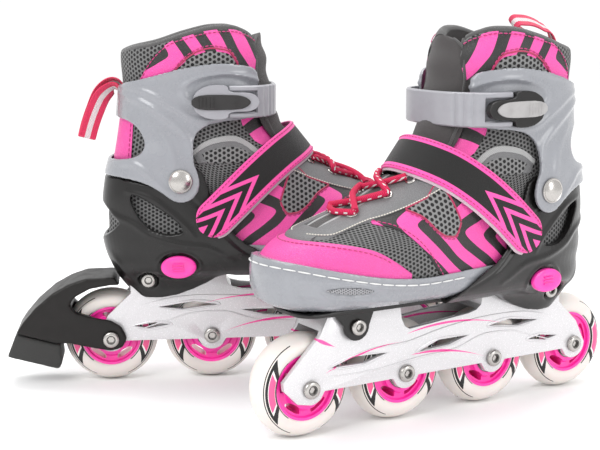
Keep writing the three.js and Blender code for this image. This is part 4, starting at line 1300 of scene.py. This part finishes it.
def power_strap():
    """The stiff strap round the cuff, forked at the lever and riveted on the inner side."""
    shape = Shape()
    path = power_path(STRAP["tip"])
    half, thick = STRAP["half_width"], STRAP["thick"]
    root = next(i for i, p in enumerate(path) if p[0] > STRAP["root"])
    band = path[root:]
    grooved = np.full(len(band), float(thick))
    for groove in (7, 13, 19):
        grooved -= 1.1 * np.exp(-(((distances(band) - groove) / 1.3) ** 2))
    ribbon(shape, "strap_plastic", band, (0, 0, 1.0), half, grooved)
    prong = (half - STRAP["nose"] - 0.4) / 2
    for side in (1, -1):
        offset = (0, 0, side * (half - prong))
        ribbon(shape, "strap_plastic", path[: root + 2] + offset, (0, 0, 1.0), prong, thick)
    x, y, z = band[-9]
    for rise in (-5, 5):
        lathe(shape, "steel", [(2.6, 0), (2.6, -1), (1.8, -1.8), (0, -2)], (x, y - thick, z + rise), sides=20)
    return shape


def lever(shell_look, insert_look):
    """The buckle's lever: a rounded shell that fits the strap's fork, with a ridged grip let into it."""
    shape = Shape()
    h, nose, wing, grip = STRAP["h"], STRAP["nose"], 12.2, 5.4
    body = outline([(62, h - 6), (72, h - wing), (87, h - wing), (87, h - nose), (104, h - nose),
                    (109, h - 2.4),
                    (109, h + 2.4), (104, h + nose), (87, h + nose), (87, h + wing), (72, h + wing),
                    (62, h + 6)],
                   passes=2, y0=43.1, y1=48.0)
    shape.solid(moulded(body, voxel=0.5, smooth=5), shell_look)
    insert = outline([(61, h - grip), (90, h - grip), (99, h - 4.2), (104, h), (99, h + 4.2), (90, h + grip),
                      (61, h + grip)], passes=2, y0=46, y1=49.4)
    shape.solid(moulded(insert, voxel=0.4, smooth=4), insert_look)
    for step in range(5):
        x, z = 66 + 2.6 * step, WHEEL_TOP + h
        bar = smooth_path([(x, 49.3, z - 3.6), (x, 49.4, z), (x, 49.3, z + 3.6)], 12)
        tube(shape, insert_look, bar, 0.5, sides=8)
    return shape


# ---- Moulded shells ------------------------------------------------------------------------------
SHELL_GAP = 0.7
WINDOW = [(15, 75), (24, 73), (36, 65.5), (47.5, 57.5), (56, 48), (47, 45.6), (36, 46.6), (27, 52), (20, 61)]


def boot_room():
    return form_block(BOOT_FORM, SHELL_GAP, SOLE_H - 0.4, 112, sides=96)


def toe_room():
    """The space that the toe shell slides in, with the gap round it."""
    room = form_block([[h, back - 2 * SIZE_TRAVEL, *rest] for h, back, *rest in TOE_FORM], TOE_GAP, 16.5)
    combine(room, outline([(81, 0), (300, 0), (300, 90), (81, 90)], 0), "INTERSECT")
    return room


def base_shell():
    """The black shell: heel cup, side arms with a window, and the sole plate."""
    block = form_block(SHELL_FORM)
    combine(block, outline([
        (14, 3), (20, -4.5), (44, -4.5), (68, 4.5), (83, 15), (96, 12.6), (236, 12.6), (240, 14.5), (236, 16.5),
        (128, 16.5), (122, 23.5), (108, 35), (95.5, 41.5), (80, 58.5), (72, 80), (67, 95), (42, 96), (36, 80.5),
        (28, 82), (12, 85.2), (-8, 85.6), (-8, 71), (8, 54), (8, 51), (-8, 37), (-8, 18)], 1), "INTERSECT")
    combine(block, boot_room())
    combine(block, toe_room())
    for y0, y1 in ((24, OVER), (-OVER, -24)):
        combine(block, outline([(128, 11), (240, 11), (240, 80), (128, 80)], 0, y0, y1))
    combine(block, outline([(14.6, -9), (300, -9), (300, 12.6), (14.6, 12.6)], 0, -CHANNEL, CHANNEL))
    combine(block, outline(WINDOW))
    for y0, y1 in ((BOLT_SEAT, OVER), (-OVER, -BOLT_SEAT)):
        combine(block, prism(oval(*REAR_BOLT, 7.6, 7.6), y0, y1))
    pocket = oval(BUTTON["x"], BUTTON["h"], BUTTON["long"] + TOE_GAP, BUTTON["high"] + TOE_GAP)
    combine(block, prism(pocket, BUTTON["seat"] - 2.6, OVER))
    shape = Shape()
    shape.solid(moulded(block), "black_plastic")
    relief(shape, lambda x, h: (
        ridge(x, h, [(60, 72), (70, 62), (84, 47), (98, 34), (118, 24)], 1.5, -1.0)
        + ridge(x, h, [(74, 66), (84, 56), (96, 44), (108, 35)], 1.6, 0.8)
        + ridge(x, h, [(-2, 62), (8, 57), (18, 53), (30, 45), (50, 39), (72, 36), (90, 26)], 2.2, 1.1)
        + ridge(x, h, [(14, 77), (30, 73), (44, 63), (56, 52), (62, 44)], 1.8, 0.9)
        + ridge(x, h, [(2, 30), (12, 16), (22, 6)], 2.0, 0.7)
        + lens(x, h, (BUTTON["x"], BUTTON["h"]), 15.4, 10.6, 0, 0.5, 0.7)))
    for side in (1, -1):
        dome = [(0, 39.5), (3.9, 39.5), (3.9, 42.6), (3.2, 43.6), (1.8, 44.2), (0, 44.4)]
        lathe(shape, "steel", [(r, side * y) for r, y in dome], (78.5, 0, WHEEL_TOP + 58.5), sides=32)
    ears(shape)
    return shape


def ears(shape):
    """The two lugs that the front bolt clamps to the frame."""
    x, h = FRONT_BOLT
    turns = np.radians(np.linspace(180, 360, 25))
    lug = [(x + 9.5 * math.cos(t), WHEEL_TOP + h + 9.5 * math.sin(t)) for t in turns]
    lug += [(x + 19, WHEEL_TOP + 14.5), (x - 14, WHEEL_TOP + 14.5)]
    for y0, y1 in ((CHANNEL, BOLT_SEAT - 0.1), (0.1 - BOLT_SEAT, -CHANNEL)):
        shape.solid(moulded(prism(lug, y0, y1), 0.6, 3), "black_plastic")


RIM = curve((92, 38), (106, 38), (128, 36.8), (155, 35.8), (180, 38), (214, 44.5), (246, 51.5), (256, 53))


VENT_LOW = curve((193, 31), (200, 29.8), (214, 30.6), (226, 33.2))
VENT_HIGH = curve((193, 31.3), (203, 33.6), (216, 34.6), (226, 33.6))


def toe_shell():
    """The grey toe cap that slides for the shoe size, with its sewn rim, ridges and vent."""
    block = form_block(TOE_FORM, 0.0, TOE_FLOOR)
    rim = [(x, WHEEL_TOP + RIM(x)) for x in np.linspace(262, 92, 40)]
    below = [(x, WHEEL_TOP + h) for x, h in ((92, 16), (270, 16), (270, 54))]
    combine(block, prism(below + rim), "INTERSECT")
    combine(block, boot_room())
    shape = Shape()
    shape.solid(moulded(block), "grey_plastic")
    back = angle_at(TOE_FORM, 34, 121)
    line = seam(TOE_FORM, span(-back, back, 150), RIM, -4.2, 0.5)
    stitches(shape, "white_thread", line, length=8, gap=1.8, radius=0.5)
    relief(shape, lambda x, h: (
        lens(x, h, (210, 31.8), 17, 3.2, 4, 0.5, 0.6)
        + ridge(x, h, [(146, 28), (165, 30), (185, 33), (210, 37), (240, 40)], 1.8, 0.8)
        + ridge(x, h, [(146, 20.5), (170, 22), (205, 26), (240, 31)], 1.6, 0.6)
        + ridge(x, h, [(100, 30), (130, 30.5), (160, 30), (182, 33), (214, 39.5), (246, 46.5)], 0.9, -0.5)))
    vent = span(angle_at(TOE_FORM, 33, 225), angle_at(TOE_FORM, 31, 194), 40)
    for angles in (vent, mirrored(vent)):
        patch(shape, "pale_mesh", TOE_FORM, angles, VENT_LOW, VENT_HIGH, thick=0.3, base=0.1)
    return shape


CUFF_OUTLINE = [(-8, 87.6), (12, 87), (28, 83.5), (40, 76.5), (46, 71.6), (52.5, 69.6), (59.5, 71.3), (65, 77),
                (66.3, 84), (65, 91), (61.4, 100), (61.4, 112.6), (66, 121.6), (78, 127), (104, 128.6),
                (108.5, 134), (109.5, 146), (110, 160), (106, 165.5), (96.5, 167.2), (81.5, 168.3), (59, 165.8),
                (36.5, 159.9), (8, 153), (0, 140), (-8, 120)]


def cuff():
    """The grey ankle cuff, with an opening behind and moulded ridges round the buckle."""
    block = form_block(CUFF_FORM, CUFF_WALL)
    combine(block, form_block(CUFF_FORM, 0.0, 59, 173))
    combine(block, outline(CUFF_OUTLINE, 1), "INTERSECT")
    combine(block, outline([(-20, 97), (10, 99.5), (23.6, 102.7), (28.3, 110), (26.2, 118), (20.3, 125.6),
                            (9.9, 129.5), (-20, 130)], 2))
    shape = Shape()
    shape.solid(moulded(block), "grey_plastic")
    relief(shape, lambda x, h: (
        lens(x, h, (85, 149), 29, 11.5, 0, 1.2, 0.9)
        + ridge(x, h, [(6, 148), (26, 141), (45, 129), (58, 116), (62, 100)], 2.6, 1.5)
        + ridge(x, h, [(8, 152), (30, 148), (50, 137), (68, 128), (96, 131)], 2.0, 1.1)
        + ridge(x, h, [(20, 158), (45, 162), (70, 167), (100, 167)], 2.0, 1.0)
        + ridge(x, h, [(0, 96), (20, 97), (32, 88), (42, 78)], 2.2, 1.0)
        + ridge(x, h, [(32, 128), (44, 112), (48, 98), (44, 86)], 3.0, 0.9)))
    return shape


def size_button():
    """The oval push button, with a dished face and three ridges."""
    shape = Shape()
    x, z, face, seat = BUTTON["x"], WHEEL_TOP + BUTTON["h"], BUTTON["face"], BUTTON["seat"]
    turns = np.radians(np.linspace(0, 360, 61))
    rows = []
    for scale, y in ((1.0, seat), (1.0, face - 1.6), (0.96, face - 0.6), (0.86, face - 0.1), (0.6, face),
                     (0.45, face - 0.5), (0.0, face - 0.6)):
        long, high = scale * BUTTON["long"], scale * BUTTON["high"]
        rows.append([(x + long * math.cos(t), y, z + high * math.sin(t)) for t in turns])
    shape.grid(rows, "pink_plastic")
    for rise in (-2.2, 0, 2.2):
        bar = [(x - 4.5, face - 0.1, z + rise), (x + 4.5, face - 0.1, z + rise)]
        tube(shape, "pink_plastic", resample(bar, 1.0), 0.55, sides=8)
    return shape


# ---- Hardware ------------------------------------------------------------------------------------
def bolt_head(shape, centre, radius, seat, sign, height=2.6):
    """A low domed head with a hexagon socket, seated at y = seat on the outer (1) or inner (-1) side."""
    turns = np.radians(np.arange(0, 361, 6))
    socket, face = 0.45 * radius, seat + height

    def circle(reaches, y):
        return [(centre[0] + r * math.cos(t), sign * y, centre[1] + r * math.sin(t))
                for r, t in zip(reaches, turns)]

    dome = [circle(np.full(len(turns), r), y) for r, y in (
        (radius * 0.6, seat), (radius, seat), (radius, seat + 0.5 * height),
        (radius * 0.94, seat + 0.8 * height),
        (radius * 0.8, face), (socket * 1.25, face))]
    corners = math.cos(math.radians(30)) / np.cos(turns % math.radians(60) - math.radians(30))
    floor = seat + 0.3 * height
    hexagons = [circle(r * corners, y) for r, y in ((socket, face - 0.2), (socket, floor), (0.01, floor))]
    shape.grid(dome, "steel", flip=sign < 0)
    # The hexagon socket is lined with dark steel: painted shade in the recess.
    shape.grid([dome[-1], *hexagons], "dark_steel", flip=sign < 0)


def cross_bolt(centre, shank, head, seat):
    shape = Shape()
    for side in (1, -1):
        bolt_head(shape, centre, head, seat, side)
    lathe(shape, "steel", [(0, -seat - 1), (shank, -seat - 1), (shank, seat + 1), (0, seat + 1)],
          (centre[0], 0, centre[1]), sides=24)
    return shape


def rivet(outward):
    """A wide shallow dome with a turned rim."""
    shape = Shape()
    seat = half_width(CUFF_FORM, *PIVOT) + CUFF_WALL + 0.8
    inside = half_width(BOOT_FORM, *PIVOT) + 1.3
    profile = [(0, inside), (3.6, inside), (3.6, seat), (RIVET_RADIUS, seat), (RIVET_RADIUS, seat + 0.9),
               (7.9, seat + 1.5), (7.2, seat + 1.3), (6.6, seat + 1.7), (4.5, seat + 2.6),
               (2.2, seat + 3), (0, seat + 3.05)]
    lathe(shape, "steel", [(r, outward * y) for r, y in profile], (PIVOT[0], 0, WHEEL_TOP + PIVOT[1]), sides=48)
    return shape


# ---- Wheels --------------------------------------------------------------------------------------
def wheel(i):
    """A tyre and its spoked hub, on the i-th axle from the heel."""
    shape = Shape()
    centre = (i * AXLE_PITCH, 0, WHEEL_RADIUS)
    half = WHEEL_WIDTH / 2
    side = [(21.6, half - 2.4), (22.4, half - 1.2), (24, half - 0.3), (27, half),
            (29.6, half - 0.9), (31.6, half - 3),
            (33.2, half - 6), (34.4, half - 9), (35, 0)]
    tyre = side + [(r, -y) for r, y in reversed(side[:-1])]
    lathe(shape, "urethane", tyre, centre, sides=72)
    shape.solid(hub_mesh(centre), "hub_plastic")
    return shape


HUB_SIDES = 60
SPOKES = 5


def hub_mesh(centre):
    """A turned hub with windows between its spokes."""
    half = WHEEL_WIDTH / 2
    profile = [(11.4, half), (14.2, half - 0.2), (14.8, half - 2.4), (16, half - 3.4), (19.6, half - 3.4),
               (20.4, half - 1.6), (22.2, half - 1.4)]
    profile += [(r, -y) for r, y in reversed(profile)]
    turns = [2 * math.pi * k / HUB_SIDES for k in range(HUB_SIDES)]
    points = [(centre[0] + r * math.cos(t), y, centre[2] + r * math.sin(t)) for r, y in profile for t in turns]
    faces = []
    for i in range(len(profile)):
        here, there = i * HUB_SIDES, (i + 1) % len(profile) * HUB_SIDES
        for k in range(HUB_SIDES):
            after = (k + 1) % HUB_SIDES
            faces.append([here + k, here + after, there + after, there + k])
    block = object_of(points, faces)
    for k in range(SPOKES):
        turn = 2 * math.pi * k / SPOKES + 0.3
        corners = [(14.2, turn - 0.33), (19.8, turn - 0.42), (19.8, turn + 0.42), (14.2, turn + 0.33)]
        window = [(centre[0] + r * math.cos(a), centre[2] + r * math.sin(a)) for r, a in corners]
        combine(block, prism(rounded(window)))
    return block.data


def bearings(i):
    """Two shielded bearings and the spacer between them."""
    shape = Shape()
    centre = (i * AXLE_PITCH, 0, WHEEL_RADIUS)
    for side in (1, -1):
        face = side * WHEEL_WIDTH / 2
        inset, back = face - side * 0.5, face - side * 7
        profile = [(4.25, back), (4.25, face), (5.8, face), (6.0, inset), (9.2, inset), (9.4, face),
                   (BEARING_RADIUS, face), (BEARING_RADIUS, back)]
        lathe(shape, "steel", profile, centre, sides=40)
    lathe(shape, "dark_steel", [(6.2, -5), (6.2, 5)], centre, sides=24)
    return shape


# ---- Pieces kept from the CAD, with their edges broken -------------------------------------------
def polished(node, look, width, cast=False):
    """A copy of a CAD node with its edges rounded, in place of the node."""
    source = frame["nodes"][node]
    mesh = source.data.copy()
    mesh.materials.clear()
    mesh.materials.append(LOOKS[look])
    piece = bpy.data.objects.new(f"{node}_skin", mesh)
    bpy.context.scene.collection.objects.link(piece)
    weld = piece.modifiers.new("weld", "WELD")
    weld.merge_threshold = 1e-5
    if cast:
        mesh = moulded(piece, voxel=width * MM, smooth=24)
    else:
        flat = piece.modifiers.new("flat", "DECIMATE")
        flat.decimate_type = "DISSOLVE"
        flat.angle_limit = math.radians(1)
        bevel = piece.modifiers.new("bevel", "BEVEL")
        bevel.width = width * MM
        bevel.segments = 3
        bevel.limit_method = "ANGLE"
        bevel.angle_limit = math.radians(35)
        apply_modifiers(piece)
        mesh = piece.data
    mesh.polygons.foreach_set("use_smooth", [True] * len(mesh.polygons))
    mesh.set_sharp_from_angle(angle=math.radians(30))
    tag_place(mesh, MATRIX[node.split("_")[0]].inverted())
    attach(piece, source["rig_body"])
    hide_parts(node)


# ---- Assembly ------------------------------------------------------------------------------------
def build():
    made = {
        "lower_boot": lower_boot(), "collar": collar(), "tongue": tongue(), "lace": lace(),
        "instep_strap": instep_strap(), "power_strap": power_strap(), "base_shell": base_shell(),
        "toe_shell": toe_shell(), "cuff": cuff(), "size_button": size_button(),
    }
    levers = {"right": lever("strap_plastic", "grip_black"), "left": lever("black_plastic", "grip_grey")}
    loops = {"right": pull_loop(HANGING_LOOP, -80), "left": pull_loop(STANDING_LOOP, -35, 5)}
    ribs = frame_ribs()
    leg_bend = ("cuff_group", (52, 0, WHEEL_TOP + LEG_CUT), (52, 0, 202))
    toe_slide = ("toe_group", (150, 0, 100), (174, 0, 100))
    for side in SIDES:
        show("boot_fabric", side, made["lower_boot"], "chassis", ("boot_quarter", "boot_vamp"),
             toe_slide)
        top = show("collar_fabric", side, made["collar"], "chassis", ("boot_collar",), leg_bend)
        flap = show("tongue_pad", side, made["tongue"], "chassis", ("tongue",), leg_bend)
        show("lace_cord", side, made["lace"], "chassis", ("lace",), toe_slide)
        show("pull_loop", side, loops[side], "cuff_group", ())
        show("instep_band", side, made["instep_strap"], "chassis", ("instep_strap",))
        show("power_band", side, made["power_strap"], "cuff_group", ("power_strap",))
        show("lever_shell", side, levers[side], "lever", ("buckle_lever",))
        show("heel_shell", side, made["base_shell"], "chassis", ("base_shell",))
        show("toe_cup", side, made["toe_shell"], "toe_group", ("toe_shell",))
        show("cuff_shell", side, made["cuff"], "cuff_group", ("cuff",))
        show("push_button", side, made["size_button"], "button", ("size_button",))
        show("outer_rivet", side, rivet(1), "chassis", ("outer_ankle_rivet",))
        show("inner_rivet", side, rivet(-1), "chassis", ("inner_ankle_rivet",))
        for name, (x, h) in (("rear", REAR_BOLT), ("front", FRONT_BOLT)):
            bolt = cross_bolt((x, WHEEL_TOP + h), SHANK_RADIUS, 5.4, BOLT_SEAT + BOLT_LIFT)
            show(f"{name}_bolt", side, bolt, "chassis", (f"{name}_mount_bolt",))
        for i in range(4):
            n = i + 1
            body = f"wheel_{n}_group"
            seat = BRAKE_HALF if side == "right" and i == 0 else FRAME_HALF
            axle = cross_bolt((i * AXLE_PITCH, WHEEL_RADIUS), AXLE_RADIUS, HEAD_RADIUS, seat + BOLT_LIFT)
            show(f"axle_bolt_{n}", side, axle, "chassis", (f"axle_{n}",))
            show(f"tyre_and_hub_{n}", side, wheel(i), body, (f"wheel_{n}",))
            show(f"bearing_pair_{n}", side, bearings(i), body, (f"bearings_{n}",))
        show("frame_ribs", side, ribs, "chassis", ())
        polished(f"{side}_frame", "frame_white", 0.6)
    polished("right_brake_arm", "brake_plastic", 0.9, cast=True)
    polished("right_brake_pad", "rubber", 0.9, cast=True)


make_camera()
make_studio()
build()
for leftover in [o for o in bpy.data.objects if o.name.startswith("working")]:
    bpy.data.objects.remove(leftover)
